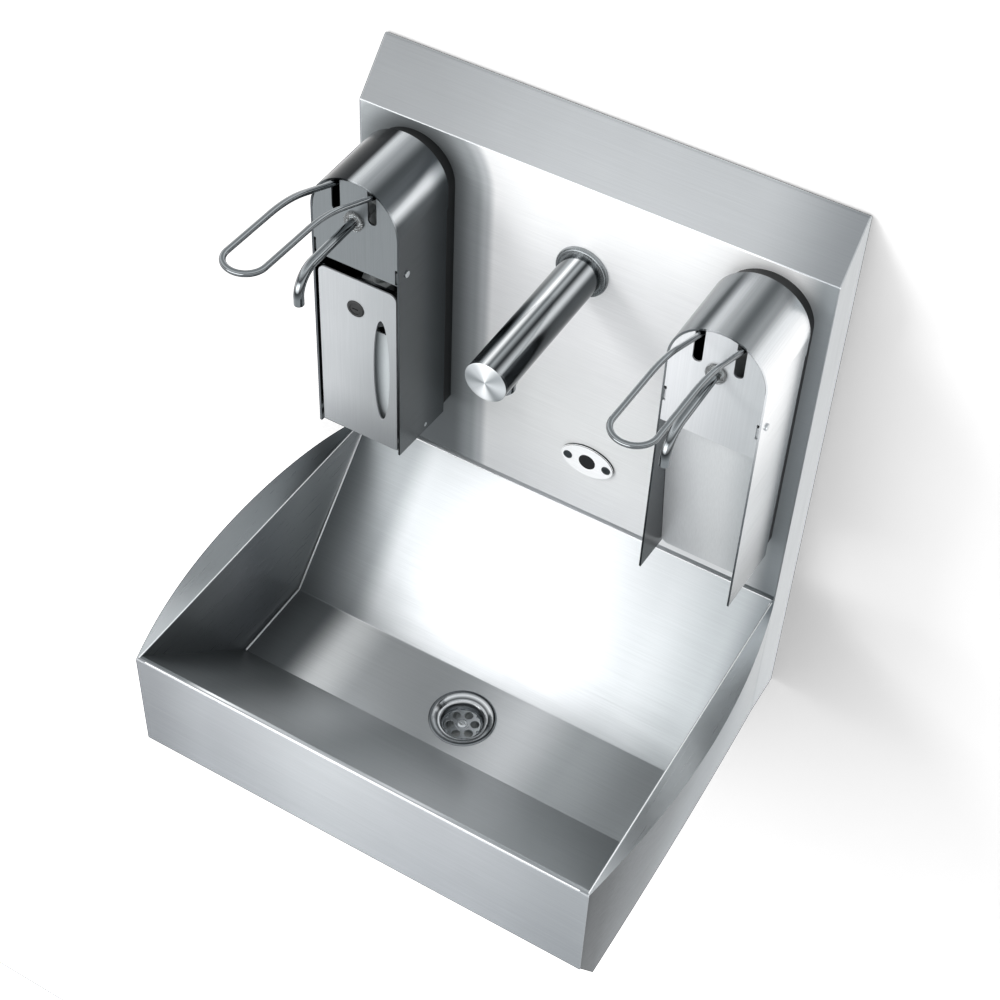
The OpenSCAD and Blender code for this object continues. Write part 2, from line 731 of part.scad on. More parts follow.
// tap
module rosette() color("#c6cacd") turned_out(0, panel_out, spout_h)
    polygon([[shank_r + waste_t, 0], [rosette_r, 0], [rosette_r, rosette_t * 0.55],
        [rosette_r - rosette_t * 0.2, rosette_t * 0.85], [rosette_r - rosette_t * 0.45, rosette_t],
        [rosette_neck_r + rosette_groove, rosette_t], [rosette_neck_r + rosette_groove, rosette_t - rosette_groove],
        [rosette_neck_r, rosette_t - rosette_groove], [rosette_neck_r, rosette_t], [shank_r + waste_t, rosette_t]]);
module spout_tube() color("#d0d3d6") difference() {
    union() {
        rod_out(0, spout_h, spout_r, rosette_out, cap_seat);
        rod_out(0, spout_h, shank_r, shank_out, rosette_out + cut_over);
        rod_z(0, outlet_out, outlet_r + spout_wall, spout_h - spout_r - spout_wall / 2, spout_h);
    }
    rod_out(0, spout_h, shank_r - spout_wall * 2, shank_out - cut_over, rosette_out + spout_wall);
    rod_out(0, spout_h, spout_r - spout_wall, rosette_out + spout_wall, cap_seat + cut_over);
    rod_z(0, outlet_out, outlet_r, spout_h - spout_r - spout_wall, spout_h);
}
module spout_cap() color("#dfe1e3") turned_out(0, cap_seat, spout_h)
    polygon(concat([[0, -cap_in], [spout_r - spout_wall - fit_gap, -cap_in], [spout_r - spout_wall - fit_gap, 0],
        [spout_r, 0]], [for (k = [0 : dome_steps]) let (a = 90 * k / dome_steps)
            [spout_r * cos(a) ^ dome_share, cap_t + dome_h * sin(a)]]));
dome_steps = 8;
dome_share = 0.7;
module aerator() color("#b8bcc0") difference() {
    rod_z(0, outlet_out, outlet_r - run_gap, outlet_low, spout_h - spout_r + spout_wall * 2);
    rod_z(0, outlet_out, outlet_r - spout_wall, outlet_low - cut_over, outlet_low + spout_wall);
    for (x = [-2, -1, 0, 1, 2] * spout_wall * 1.5, o = [-2, -1, 0, 1, 2] * spout_wall * 1.5)
        if (norm([x, o]) < outlet_r - spout_wall * 1.5)
            rod_z(x, outlet_out + o, spout_wall / 2, outlet_low, spout_h - spout_r + spout_wall * 3);
}
module spout_nut() color("#b0a070") difference() {
    hex_out(0, spout_h, spout_nut_r, panel_back - spout_nut_t, panel_back);
    rod_out(0, spout_h, shank_r, panel_back - spout_nut_t - cut_over, panel_back + cut_over);
}
module spout_elbow() color("#b0a070") difference() {
    union() {
        rod_out(0, spout_h, shank_r, elbow_in, shank_out);
        rod_z(0, hose_out, elbow_r, elbow_low, spout_h - shank_r - fit_gap);
        block(-elbow_r, elbow_r, elbow_in, shank_out, elbow_low, spout_h);
    }
    rod_z(0, hose_out, hose_r - waste_t, elbow_low - cut_over, spout_h - shank_r - waste_t);
}
module supply_hose() color("#9ea3a7") union() {
    rod_z(0, hose_out, hose_r, valve_top, elbow_low);
    rod_z(0, hose_out, hose_crimp_r, valve_top, valve_top + hose_crimp_l);
    rod_z(0, hose_out, hose_crimp_r, elbow_low - hose_crimp_l, elbow_low);
}
module solenoid_valve() color("#23282c") union() {
    block(-valve_half_w, valve_half_w, valve_in, panel_back, valve_low, valve_top);
    rod_x(hose_out, (valve_low + valve_top) / 2, elbow_r, -valve_half_w * 2, -valve_half_w);
}
module inlet_pipe() color("#c8a86a") difference() {
    union() {
        rod_z(0, hose_out, inlet_r, inlet_low + inlet_thread_l, valve_low);
        rod_z(0, hose_out, inlet_thread_r, inlet_low, inlet_low + inlet_thread_l);
        translate([0, -hose_out, inlet_low + inlet_thread_l]) cylinder(r = inlet_nut_r, h = inlet_nut_l, $fn = 6);
        rod_z(0, hose_out, inlet_thread_r, valve_low - inlet_nut_l, valve_low);
    }
    rod_z(0, hose_out, inlet_r - waste_t, inlet_low - cut_over, valve_low - waste_t);
}
module control_box() color("#d9dbdc") block(box_x0, box_x1, box_in, panel_back, box_z0, box_z1);
module cables() color("#17181a") {
    rod_x(cable_out, sensor_h, cable_r, sensor_x + sensor_body_r, box_x0);
    rod_x(cable_out, (valve_low + valve_top) / 2, cable_r, valve_half_w, box_x0);
}

// sensor
module sensor_plate() color("#e4e6e8") difference() {
    translate([sensor_x, 0, sensor_h]) {
        outward(panel_out, sensor_front - sensor_edge) polygon(oval(sensor_half_w, sensor_half_h, sensor_pow_share, $fn));
        outward(sensor_front - sensor_edge, sensor_front)
            polygon(oval(sensor_half_w - sensor_edge, sensor_half_h - sensor_edge, sensor_pow_share, $fn));
    }
    rod_out(sensor_x, sensor_h, eye_r, panel_out - cut_over, sensor_front + cut_over);
    for (s = [-1, 1])
        rod_out(sensor_x + s * sensor_screw_x, sensor_h, sensor_shank_r, panel_out - cut_over,
            sensor_front + cut_over);
}
module sensor_screws() color("#7d8286") for (s = [-1, 1]) difference() {
    union() {
        rod_out(sensor_x + s * sensor_screw_x, sensor_h, sensor_shank_r, panel_back - sensor_shank_r * 2,
            sensor_front);
        rod_out(sensor_x + s * sensor_screw_x, sensor_h, sensor_screw_r, sensor_front,
            sensor_front + sensor_shank_r / 2);
    }
    hex_out(sensor_x + s * sensor_screw_x, sensor_h, sensor_shank_r, sensor_front,
        sensor_front + sensor_shank_r);
}
module sensor_eye() color("#08090a") rod_out(sensor_x, sensor_h, eye_r, panel_out, sensor_front - sensor_edge / 2);
module sensor_body() color("#1c1e20") rod_out(sensor_x, sensor_h, sensor_body_r, sensor_body_in, panel_out);

// dispensers
module arch_outline(r, low)
    union() {
        translate([0, arch_h]) circle(r);
        translate([-r, low]) square([2 * r, arch_h - low]);
    }
module housing(x0) color("#9ea2a6") translate([x0, 0, 0]) difference() {
    outward(disp_rear, disp_front) difference() {
        arch_outline(disp_r, foot_rear_h);
        arch_outline(disp_in, foot_rear_h - cut_over);
    }
    along_x(-disp_r - cut_over, disp_r + cut_over)
        polygon([[disp_rear, foot_rear_h], [disp_front + cut_over, foot_front_h],
            [disp_front + cut_over, foot_rear_h - cut_over], [disp_rear, foot_rear_h - cut_over]]);
    rod_x(side_screw_out, side_screw_h, screw_shank_r, -disp_r - cut_over, disp_r + cut_over);
    block(-disp_r - cut_over, disp_r + cut_over, disp_rear - cut_over, disp_rear + rear_step,
        foot_rear_h - cut_over, rear_step_h);
}
module housing_right() housing(disp_x);
module housing_left() color("#9ea2a6") difference() {
    union() {
        housing(-disp_x);
        block(-disp_x - disp_in, -disp_x + disp_in, latch_out, latch_out + latch_t, latch_h0, latch_h1);
    }
    rod_x(pin_out, pin_h, pin_r, -disp_x - disp_r - cut_over, -disp_x + disp_r + cut_over);
}
module back_plate(x0) color("#3a3d40") translate([x0, 0, 0]) {
    difference() {
        union() {
            outward(disp_rear, backplate_front) union() {
                translate([0, arch_h]) circle(disp_in - fit_gap);
                translate([-disp_in, foot_rear_h + disp_t]) square([2 * disp_in, arch_h - foot_rear_h - disp_t]);
            }
            outward(panel_out, disp_rear) translate([0, -spacer_drop])
                arch_outline(spacer_r, spacer_low + spacer_drop);
        }
        outward(panel_out + spacer_t, disp_rear) translate([0, -spacer_drop])
            arch_outline(spacer_r - spacer_t, spacer_low + spacer_drop - cut_over);
        for (b = [-1, 1], z = bolt_rows)
            rod_out(b * bolt_x, z, bolt_r, panel_out - cut_over, panel_out + spacer_t + cut_over);
    }
    for (s = [-1, 1]) difference() {
        union() {
            block(s * ear_x - ear_t / 2, s * ear_x + ear_t / 2, backplate_front - cut_over, axle_out,
                axle_h - ear_r, axle_h + ear_r);
            rod_x(axle_out, axle_h, ear_r, s * ear_x - ear_t / 2, s * ear_x + ear_t / 2);
        }
        rod_x(axle_out, axle_h, axle_r, s * ear_x - ear_t, s * ear_x + ear_t);
    }
    difference() {
        block(-shelf_half, shelf_half, backplate_front - cut_over, pump_out + pump_flange_r, shelf_z - shelf_t, shelf_z);
        rod_z(0, pump_out, pump_r + run_gap, shelf_z - shelf_t - cut_over, shelf_z + cut_over);
    }
}
module back_plate_right() back_plate(disp_x);
module back_plate_left() color("#3a3d40") {
    back_plate(-disp_x);
    translate([-disp_x, 0, 0])
        block(-rest_half, rest_half, backplate_front - cut_over, rest_front, rest_h - rest_t, rest_h);
}
module front_plate(x0, low) color("#b5b9bd") translate([x0, 0, 0]) difference() {
    union() {
        outward(plate_back, disp_front) difference() {
            union() {
                translate([0, arch_h]) circle(disp_in - fit_gap);
                translate([-disp_in, low]) square([2 * disp_in, arch_h - low]);
            }
            for (s = [-1, 1]) {
                translate([s * leg_x, slot_low + slot_w / 2]) circle(slot_w / 2);
                translate([s * leg_x - slot_w / 2, slot_low + slot_w / 2]) square([slot_w, disp_r]);
                translate([s * disp_in - notch_w, side_screw_h - tab_h / 2 - notch_under])
                    square([2 * notch_w, notch_h]);
            }
        }
        for (s = [-1, 1])
            block(s > 0 ? disp_in - tab_t : -disp_in, s > 0 ? disp_in : -disp_in + tab_t, tab_end, plate_back,
                side_screw_h - tab_h / 2, side_screw_h + tab_h / 2);
        for (s = [-1, 1])
            block(s > 0 ? disp_in - tab_t - notch_w : -disp_in, s > 0 ? disp_in : -disp_in + tab_t + notch_w,
                plate_back - tab_t, plate_back, side_screw_h - tab_h / 2, side_screw_h + tab_h / 2);
    }
    rod_x(side_screw_out, side_screw_h, screw_shank_r, -disp_r, disp_r);
    rod_out(0, tube_h, nipple_body_r + fit_gap, plate_back - cut_over, disp_front + cut_over);
}
module front_plate_left() front_plate(-disp_x, plate_low_left);
module front_plate_right() front_plate(disp_x, plate_low_right);
module housing_screws() color("#d5d8da") for (x0 = [-disp_x, disp_x]) translate([x0, 0, 0]) both_sides() {
    rod_x(side_screw_out, side_screw_h, screw_shank_r, disp_in - tab_t - screw_shank_r, disp_r);
    rod_x(side_screw_out, side_screw_h, screw_head_r, disp_r, disp_r + screw_head_t);
}
module dispenser_bolts() color("#6f7478")
    for (s = [-1, 1], b = [-1, 1], z = bolt_rows) {
        hex_out(s * disp_x + b * bolt_x, z, bolt_head_r, panel_back - bolt_head_t, panel_back);
        rod_out(s * disp_x + b * bolt_x, z, bolt_r, panel_back, panel_out + spacer_t);
        hex_out(s * disp_x + b * bolt_x, z, bolt_head_r, panel_out + spacer_t, panel_out + spacer_t + bolt_nut_t);
    }
module axles() color("#85898d") for (x0 = [-disp_x, disp_x])
    rod_x(axle_out, axle_h, axle_r, x0 - ear_x - ear_t / 2 - axle_end, x0 + ear_x + ear_t / 2 + axle_end);

// lever: axle boss, two wire legs with a long bend, round loop at the tip and the bar that presses the pump
module lever(x0) color("#d3d6d9") translate([x0, 0, 0]) difference() {
    union() {
        rod_x(axle_out, axle_h, boss_r, -boss_half, boss_half);
        rod_x(bar_out, bar_h, bar_r, -leg_x, leg_x);
        both_sides() translate([leg_x, 0, 0]) {
            translate([0, -axle_out, axle_h]) rotate([90 - leg_rise, 0, 0]) cylinder(r = run_r, h = leg_l + wire_lap);
            translate([0, -bend_mid_out, bend_mid_h]) rotate([90, 0, 90]) rotate([0, 0, 90 - leg_rise])
                rotate_extrude(angle = leg_rise - tip_rise) translate([leg_bend_r, 0]) circle(wire_r);
            translate([0, -run_out, run_h]) rotate([90 - tip_rise, 0, 0]) translate([0, 0, -wire_lap])
                cylinder(r = run_r, h = tip_l + 2 * wire_lap);
        }
        translate([0, -loop_out, loop_h]) rotate([-tip_rise, 0, 0]) rotate([0, 0, 180])
            rotate_extrude(angle = 180) translate([leg_x, 0]) circle(wire_r);
    }
    rod_x(axle_out, axle_h, axle_r + run_gap, -ear_x, ear_x);
}
module lever_left() lever(-disp_x);
module lever_right() lever(disp_x);

// pumps
module pump(x0) color("#e2e4e5") translate([x0, 0, 0]) difference() {
    union() {
        rod_z(0, pump_out, pump_r, pump_low_h, pump_top_h);
        rod_z(0, pump_out, pump_flange_r, shelf_z, shelf_z + pump_flange_t);
        rod_z(0, pump_out, stem_r, collar_top, pump_low_h);
        rod_z(0, pump_out, pump_collar_r, collar_low, collar_top);
        rod_out(0, tube_h, spigot_r, pump_out, spigot_end);
    }
    rod_z(0, pump_out, chamber_r, chamber_low, chamber_top);
    rod_z(0, pump_out, piston_rod_r + run_gap, chamber_top - cut_over, pump_top_h + cut_over);
    rod_z(0, pump_out, suction_r, collar_top - cut_over, chamber_low + cut_over);
    rod_z(0, pump_out, neck_r + fit_gap, collar_low - cut_over, neck_top + fit_gap);
    rod_z(0, pump_out, dip_r + run_gap, neck_top, collar_top + pump_flange_t * 2);
    rod_out(0, tube_h, tube_r, tube_start, spigot_end + cut_over);
    rod_out(0, tube_h, suction_r, pump_out, tube_start + cut_over);
}
module pump_left() pump(-disp_x);
module pump_right() pump(disp_x);
module piston(x0) color("#c9cccf") union() {
    rod_z(x0, pump_out, piston_rod_r, piston_head_top - piston_head_t, piston_top);
    rod_z(x0, pump_out, piston_cap_r, piston_top - piston_cap_t, piston_top);
    rod_z(x0, pump_out, chamber_r - fit_gap, piston_head_top - piston_head_t, piston_head_top);
}
module piston_left() piston(-disp_x);
module piston_right() piston(disp_x);
module spring(x0) color("#b9bdc0") difference() {
    rod_z(x0, pump_out, spring_r, chamber_low, piston_head_top - piston_head_t);
    rod_z(x0, pump_out, spring_r - spring_wire, chamber_low - cut_over, piston_head_top);
}
module spring_left() spring(-disp_x);
module spring_right() spring(disp_x);
module nipples() color("#dfe7ea") for (x0 = [-disp_x, disp_x]) translate([x0, 0, 0]) difference() {
    union() {
        rod_out(0, tube_h, nipple_body_r, disp_front - nipple_in, disp_front + run_gap);
        rod_out(0, tube_h, nipple_r, disp_front, disp_front + nipple_t);
    }
    rod_out(0, tube_h, spigot_r, disp_front - nipple_in - cut_over, spigot_end + run_gap);
    rod_out(0, tube_h, tube_r, spigot_end, disp_front + nipple_t + cut_over);
}
module tube_run(r, over)
    union() {
        rod_out(0, tube_h, r, tube_start - over, tube_knee);
        translate([0, -tube_knee, tube_h - tube_bend_r]) rotate([90, 0, 90]) rotate([0, 0, 90])
            rotate_extrude(angle = 90) translate([tube_bend_r, 0]) circle(r);
        rod_z(0, tube_out, r, outlet_h - over, tube_h - tube_bend_r);
    }
module dose_tube(x0) color("#c5c9cc") translate([x0, 0, 0]) difference() {
    tube_run(tube_r, 0);
    tube_run(tube_bore_r, cut_over);
}
module dose_tube_left() dose_tube(-disp_x);
module dose_tube_right() dose_tube(disp_x);

// cover with a long oval window and two hinge ears
module cover_outline()
    union() {
        translate([-cover_half, cover_low_h]) square([2 * cover_half, cover_top_h - cover_corner_r - cover_low_h]);
        translate([-cover_half + cover_corner_r, cover_top_h - cover_corner_r - cut_over])
            square([2 * (cover_half - cover_corner_r), cover_corner_r + cut_over]);
        for (s = [-1, 1])
            translate([s * (cover_half - cover_corner_r), cover_top_h - cover_corner_r]) circle(cover_corner_r);
    }
module cover_left() color("#bfc2c6") translate([-disp_x, 0, 0]) difference() {
    union() {
        outward(cover_back, cover_out) difference() {
            cover_outline();
            translate([window_x, window_mid_h]) polygon(oval(window_w / 2, window_h / 2, 1, $fn));
        }
        both_sides() {
            block(cover_half - ear_w, cover_half, pin_out, cover_back + cover_t / 2, cover_low_h, ear_high);
            rod_x(pin_out, pin_h, ear_end_r, cover_half - ear_w, cover_half);
        }
    }
    rod_x(pin_out, pin_h, pin_r + run_gap, -disp_r, disp_r);
    rod_out(-lock_left, lock_h, lock_sleeve_r + run_gap, cover_back - cut_over, cover_out + cut_over);
}
module cover_pin() color("#7d8286") rod_x(pin_out, pin_h, pin_r, -disp_x - disp_r - run_gap, -disp_x + disp_r + run_gap);
module lock_sleeve() color("#3b3f42") translate([-disp_x - lock_left, 0, 0]) difference() {
    union() {
        rod_out(0, lock_h, lock_sleeve_r, cam_front + cam_gap, cover_out + cut_over / 2);
        turned_out(0, cover_out, lock_h)
            polygon([[0, 0], [lock_r, 0], [lock_r, lock_face_t * 0.4], [lock_r - lock_face_t, lock_face_t],
                [0, lock_face_t]]);
    }
    rod_out(0, lock_h, lock_plug_r + run_gap, cam_front - cut_over, cover_out + lock_face_t + cut_over);
}
module lock_nut() color("#9a9ea1") translate([-disp_x - lock_left, 0, 0]) difference() {
    hex_out(0, lock_h, lock_nut_r, cover_back - lock_nut_t, cover_back);
    rod_out(0, lock_h, lock_sleeve_r, cover_back - lock_nut_t - cut_over, cover_back + cut_over);
}
module lock_plug() color("#2a2d30") translate([-disp_x - lock_left, 0, 0]) difference() {
    rod_out(0, lock_h, lock_plug_r, cam_front, cover_out + lock_face_t * 0.7);
    block(-key_l / 2, key_l / 2, cover_out - cover_t, cover_out + lock_face_t + cut_over, lock_h - key_w / 2,
        lock_h + key_w / 2);
}
module lock_cam() color("#8e9295") translate([-disp_x - lock_left, 0, lock_h])
    outward(cam_front - cam_t, cam_front) union() {
        circle(lock_plug_r + cam_t);
        translate([cam_half_w - cam_reach, -cam_half_w]) square([cam_reach - cam_half_w, 2 * cam_half_w]);
        translate([cam_half_w - cam_reach, 0]) circle(cam_half_w);
    }

// bottle on its rest
module rounded(x, y, r)
    union() {
        square([2 * x, 2 * (y - r)], center = true);
        square([2 * (x - r), 2 * y], center = true);
        for (a = [-1, 1], b = [-1, 1]) translate([a * (x - r), b * (y - r)]) circle(r);
    }
module bottle_form(inset)
    union() {
        translate([0, -(bottle_front + bottle_rear) / 2, rest_h + inset])
            linear_extrude(bottle_top - rest_h - inset)
                rounded(bottle_half - inset, (bottle_front - bottle_rear) / 2 - inset, bottle_corner - inset);
        translate([0, -pump_out, bottle_top - bottle_wall / 10])
            cylinder(r1 = bottle_front - pump_out - inset - bottle_wall, r2 = neck_r - inset,
                h = shoulder_top - bottle_top);
        rod_z(0, pump_out, neck_r - inset, shoulder_top - cut_over, neck_top - (inset > 0 ? -cut_over : 0));
    }
module bottle() color("#e9ebea") translate([-disp_x, 0, 0]) difference() {
    bottle_form(0);
    bottle_form(bottle_wall);
}
module dip_tube() color("#dfe3e4") translate([-disp_x, 0, 0]) difference() {
    rod_z(0, pump_out, dip_r, dip_low, collar_top + pump_flange_t);
    rod_z(0, pump_out, dip_r / 2, dip_low - cut_over, collar_top + pump_flange_t + cut_over);
}

// slanting plate set back in the open front of the right dispenser, held at the side screws
function guard_at(z) = side_screw_out - (side_screw_out - guard_foot_out) * (side_screw_h - z)
    / (side_screw_h - guard_foot_h);
module guard_right() color("#c4c7cb") translate([disp_x, 0, 0]) difference() {
    union() {
        along_x(-disp_in + fit_gap, disp_in - fit_gap)
            sheet_outline([[guard_at(guard_top_h), guard_top_h], [guard_foot_out, guard_foot_h]], -guard_t);
        both_sides() {
            along_x(disp_in - tab_t - guard_t, disp_in - tab_t)
                polygon([[side_screw_out + guard_ear_r, side_screw_h], [side_screw_out - guard_ear_r, side_screw_h],
                    [guard_at(guard_ear_low_h) - guard_ear_r, guard_ear_low_h],
                    [guard_at(guard_ear_low_h), guard_ear_low_h], [guard_at(guard_top_h), guard_top_h]]);
            rod_x(side_screw_out, side_screw_h, guard_ear_r, disp_in - tab_t - guard_t, disp_in - tab_t);
        }
    }
    rod_x(side_screw_out, side_screw_h, screw_shank_r, -disp_in, disp_in);
    for (s = [-1, 1]) difference() {
        block(s > 0 ? disp_in - guard_corner_r : -disp_in - cut_over,
            s > 0 ? disp_in + cut_over : -disp_in + guard_corner_r, backplate_front, disp_front,
            guard_foot_h - guard_corner_r, guard_foot_h + guard_corner_r);
        rod_out(s * (disp_in - guard_corner_r), guard_foot_h + guard_corner_r, guard_corner_r, backplate_front,
            disp_front);
    }
}

wall_frame();
hook_rail();
splash_panel();
side_left();
side_right();
basin_bowl();
front_apron();
lower_ties();
tie_screws();
waste_flange();
waste_seal();
waste_nut();
strainer();
strainer_screw();
tail_pipe();
rosette();
spout_nut();
spout_tube();
spout_cap();
aerator();
spout_elbow();
supply_hose();
solenoid_valve();
inlet_pipe();
control_box();
cables();
sensor_plate();
sensor_screws();
sensor_eye();
sensor_body();
dispenser_bolts();
housing_screws();
axles();
nipples();
back_plate_left();
housing_left();
front_plate_left();
lever_left();
pump_left();
piston_left();
spring_left();
dose_tube_left();
cover_left();
cover_pin();
lock_sleeve();
lock_nut();
lock_plug();
lock_cam();
bottle();
dip_tube();
back_plate_right();
housing_right();
front_plate_right();
lever_right();
pump_right();
piston_right();
spring_right();
dose_tube_right();
guard_right();
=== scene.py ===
"""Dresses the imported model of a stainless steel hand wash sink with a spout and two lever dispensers."""
import json
import math

import bpy
from mathutils import Matrix, Vector

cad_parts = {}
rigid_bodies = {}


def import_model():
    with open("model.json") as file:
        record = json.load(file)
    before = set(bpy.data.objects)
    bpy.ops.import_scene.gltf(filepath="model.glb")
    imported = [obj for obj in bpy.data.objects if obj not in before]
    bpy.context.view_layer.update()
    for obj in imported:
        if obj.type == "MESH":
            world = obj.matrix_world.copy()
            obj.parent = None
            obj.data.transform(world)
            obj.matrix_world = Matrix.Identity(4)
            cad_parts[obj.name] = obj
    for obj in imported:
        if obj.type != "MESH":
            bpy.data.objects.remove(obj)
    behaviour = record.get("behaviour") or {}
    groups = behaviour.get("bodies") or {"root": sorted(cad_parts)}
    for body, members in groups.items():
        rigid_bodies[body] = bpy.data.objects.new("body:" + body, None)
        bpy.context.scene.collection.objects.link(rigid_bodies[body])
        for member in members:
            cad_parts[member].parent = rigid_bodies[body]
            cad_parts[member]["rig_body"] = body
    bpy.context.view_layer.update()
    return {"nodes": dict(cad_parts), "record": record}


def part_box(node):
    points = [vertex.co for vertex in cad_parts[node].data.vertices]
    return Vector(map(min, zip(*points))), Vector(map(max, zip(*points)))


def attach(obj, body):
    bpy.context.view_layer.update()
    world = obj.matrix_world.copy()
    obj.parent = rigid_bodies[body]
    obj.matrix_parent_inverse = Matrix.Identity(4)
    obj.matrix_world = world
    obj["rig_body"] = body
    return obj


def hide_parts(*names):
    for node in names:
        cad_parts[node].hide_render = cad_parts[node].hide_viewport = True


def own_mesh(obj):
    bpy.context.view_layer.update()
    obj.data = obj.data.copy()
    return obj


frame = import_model()

bl_info = {
    "name": "Hand wash sink",
    "version": (1, 0, 0),
    "blender": (4, 5, 0),
    "location": "View3D > Sidebar > Hand wash sink",
    "description": "Dresses the packed stainless steel hand wash sink",
    "category": "Object",
}

SLOT_OF = {row["node"]: row["material_slot"] for row in frame["record"]["subparts"]}
BODY_OF = {name: node["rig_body"] for name, node in frame["nodes"].items()}


def linear(code):
    """An sRGB hex colour as linear red, green and blue."""
    parts = [int(code[i:i + 2], 16) / 255 for i in (1, 3, 5)]
    return [c / 12.92 if c <= 0.04045 else ((c + 0.055) / 1.055) ** 2.4 for c in parts]


def add(tree, kind, *links, stops=(), **settings):
    """Adds a node: links are (input, source socket), settings are its own inputs and attributes.

    stops are a ramp's (place, colour), each colour an sRGB hex code or linear red, green and blue.
    """
    node = tree.nodes.new(kind)
    for name, value in settings.items():
        if name in node.inputs:
            node.inputs[name].default_value = value
        else:
            setattr(node, name, value)
    for target, source in links:
        tree.links.new(source, node.inputs[target])
    for i, (place, code) in enumerate(stops):
        spot = node.color_ramp.elements[i] if i < 2 else node.color_ramp.elements.new(place)
        spot.position = place
        spot.color = (*(linear(code) if isinstance(code, str) else code), 1)
    return node


def blank(name, **sockets):
    """A new material with its shader's own sockets set."""
    material = bpy.data.materials.new(name)
    material.use_nodes = True
    shader = material.node_tree.nodes["Principled BSDF"]
    for socket, value in sockets.items():
        shader.inputs[socket.replace("_", " ")].default_value = value
    return material, material.node_tree, shader


# ---------------------------------------------------------------- finishes

X, Y, Z = (1, 0, 0), (0, 1, 0), (0, 0, 1)
# a brushed line's drawn width in metres, and its length over its width
LINE_PITCH, LINE_STRETCH = 0.0011, 70
# a noise's values lie mostly between these
NOISE_LOW, NOISE_HIGH = 0.25, 0.75
# depth of the brushed lines and of a moulded grain, in metres
LINE_DEPTH, GRAIN_DEPTH = 0.0003, 0.0002
# the UV layer whose direction smears the panel's highlights
GRAIN_LAYER = "grain"

# places on the sink, in metres: the dispensers' middles and the centre of their arches
LEFT, RIGHT, ARCH = -0.1879, 0.1879, 0.3757
WIDTH = (-0.25, 0.25)
HALF_HOUSING, HALF_PLATE, HALF_GUARD = 0.049, 0.045, 0.047
# how far from its middle the painted shade of the left housing reaches on the panel
PAINTED_SHADE_REACH = 0.092
SPOUT_H, SPOUT_R = 0.329, 0.0215
WASTE_OUT, FLANGE_R = 0.250, 0.0365

FINISH = {}


def multiplied(tree, first, second):
    """Two colours multiplied: the second is a socket, the first a socket, an sRGB hex code or missing."""
    if first is None:
        return second
    both = add(tree, "ShaderNodeMix", (7, second), data_type="RGBA", blend_type="MULTIPLY")
    both.inputs[0].default_value = 1.0
    if isinstance(first, str):
        both.inputs[6].default_value = (*linear(first), 1)
    else:
        tree.links.new(first, both.inputs[6])
    return both.outputs[2]


def fixed(tree, kind, operation, source, value):
    """A maths node of a socket and a fixed second value."""
    node = add(tree, kind, (0, source), operation=operation)
    node.inputs[1].default_value = value
    return node


def ranged(tree, source, low, high, to_low=0.0, to_high=1.0):
    """A measure between low and high, spread over to_low and to_high."""
    return add(tree, "ShaderNodeMapRange", ("Value", source), **{
        "From Min": low, "From Max": high, "To Min": to_low, "To Max": to_high}).outputs[0]


def ramped(tree, share, stops, soft=True):
    """The colour at a share of the way along these stops."""
    ramp = add(tree, "ShaderNodeValToRGB", (0, share), stops=stops)
    if soft:
        ramp.color_ramp.interpolation = "EASE"
    return ramp.outputs[0]


def place_in(tree):
    """The place on the object."""
    return add(tree, "ShaderNodeTexCoord").outputs["Object"]


def over_base(material, colour):
    """Multiplies a finish's colour by this one."""
    tree = material.node_tree
    base = tree.nodes["Principled BSDF"].inputs["Base Color"]
    tree.links.new(multiplied(tree, base.links[0].from_socket, colour), base)
    return material


def painted_light_gradients(tree, place, painted_tones):
    """Painted light, shade and reflections across a piece: soft changes of tone, (direction, start, end,
    stops), in metres along the direction.
    """
    colour = None
    for direction, start, end, stops in painted_tones:
        reach = fixed(tree, "ShaderNodeVectorMath", "DOT_PRODUCT", place, direction)
        share = ranged(tree, reach.outputs["Value"], start, end)
        colour = multiplied(tree, colour, ramped(tree, share, stops))
    return colour


def painted_arch_shade(material, x, height, start, end, stops):
    """Darkens a sheet round an arch with its centre at x and this height: painted shade, the housing's soft
    reflection painted into it.
    """
    tree = material.node_tree
    apart = fixed(tree, "ShaderNodeVectorMath", "SUBTRACT", place_in(tree), (x, 0, height))
    away = add(tree, "ShaderNodeSeparateXYZ", (0, apart.outputs[0]))
    up = fixed(tree, "ShaderNodeMath", "MAXIMUM", away.outputs[2], 0.0)
    flat = add(tree, "ShaderNodeCombineXYZ", (0, away.outputs[0]), (2, up.outputs[0]))
    reach = add(tree, "ShaderNodeVectorMath", (0, flat.outputs[0]), operation="LENGTH")
    return over_base(material, ramped(tree, ranged(tree, reach.outputs["Value"], start, end), stops))


def painted_reflection_lines(material, stops):
    """Painted reflections on a drawn wire or tube: lengthwise light and dark lines that follow how far its skin
    faces up.
    """
    tree = material.node_tree
    skin = add(tree, "ShaderNodeSeparateXYZ", (0, add(tree, "ShaderNodeTexCoord").outputs["Normal"]))
    return over_base(material, ramped(tree, ranged(tree, skin.outputs[2], -1.0, 1.0), stops, soft=False))


def painted_turned_rings(material, x, y, reach, stops):
    """Painted reflections in light and dark rings, as a turned part shows them round its upright axis, out to
    this reach.
    """
    tree = material.node_tree
    away = fixed(tree, "ShaderNodeVectorMath", "SUBTRACT", place_in(tree), (x, y, 0))
    level = fixed(tree, "ShaderNodeVectorMath", "MULTIPLY", away.outputs[0], (1, 1, 0))
    out = add(tree, "ShaderNodeVectorMath", (0, level.outputs[0]), operation="LENGTH")
    share = ranged(tree, out.outputs["Value"], 0.0, reach)
    return over_base(material, ramped(tree, share, stops, soft=False))


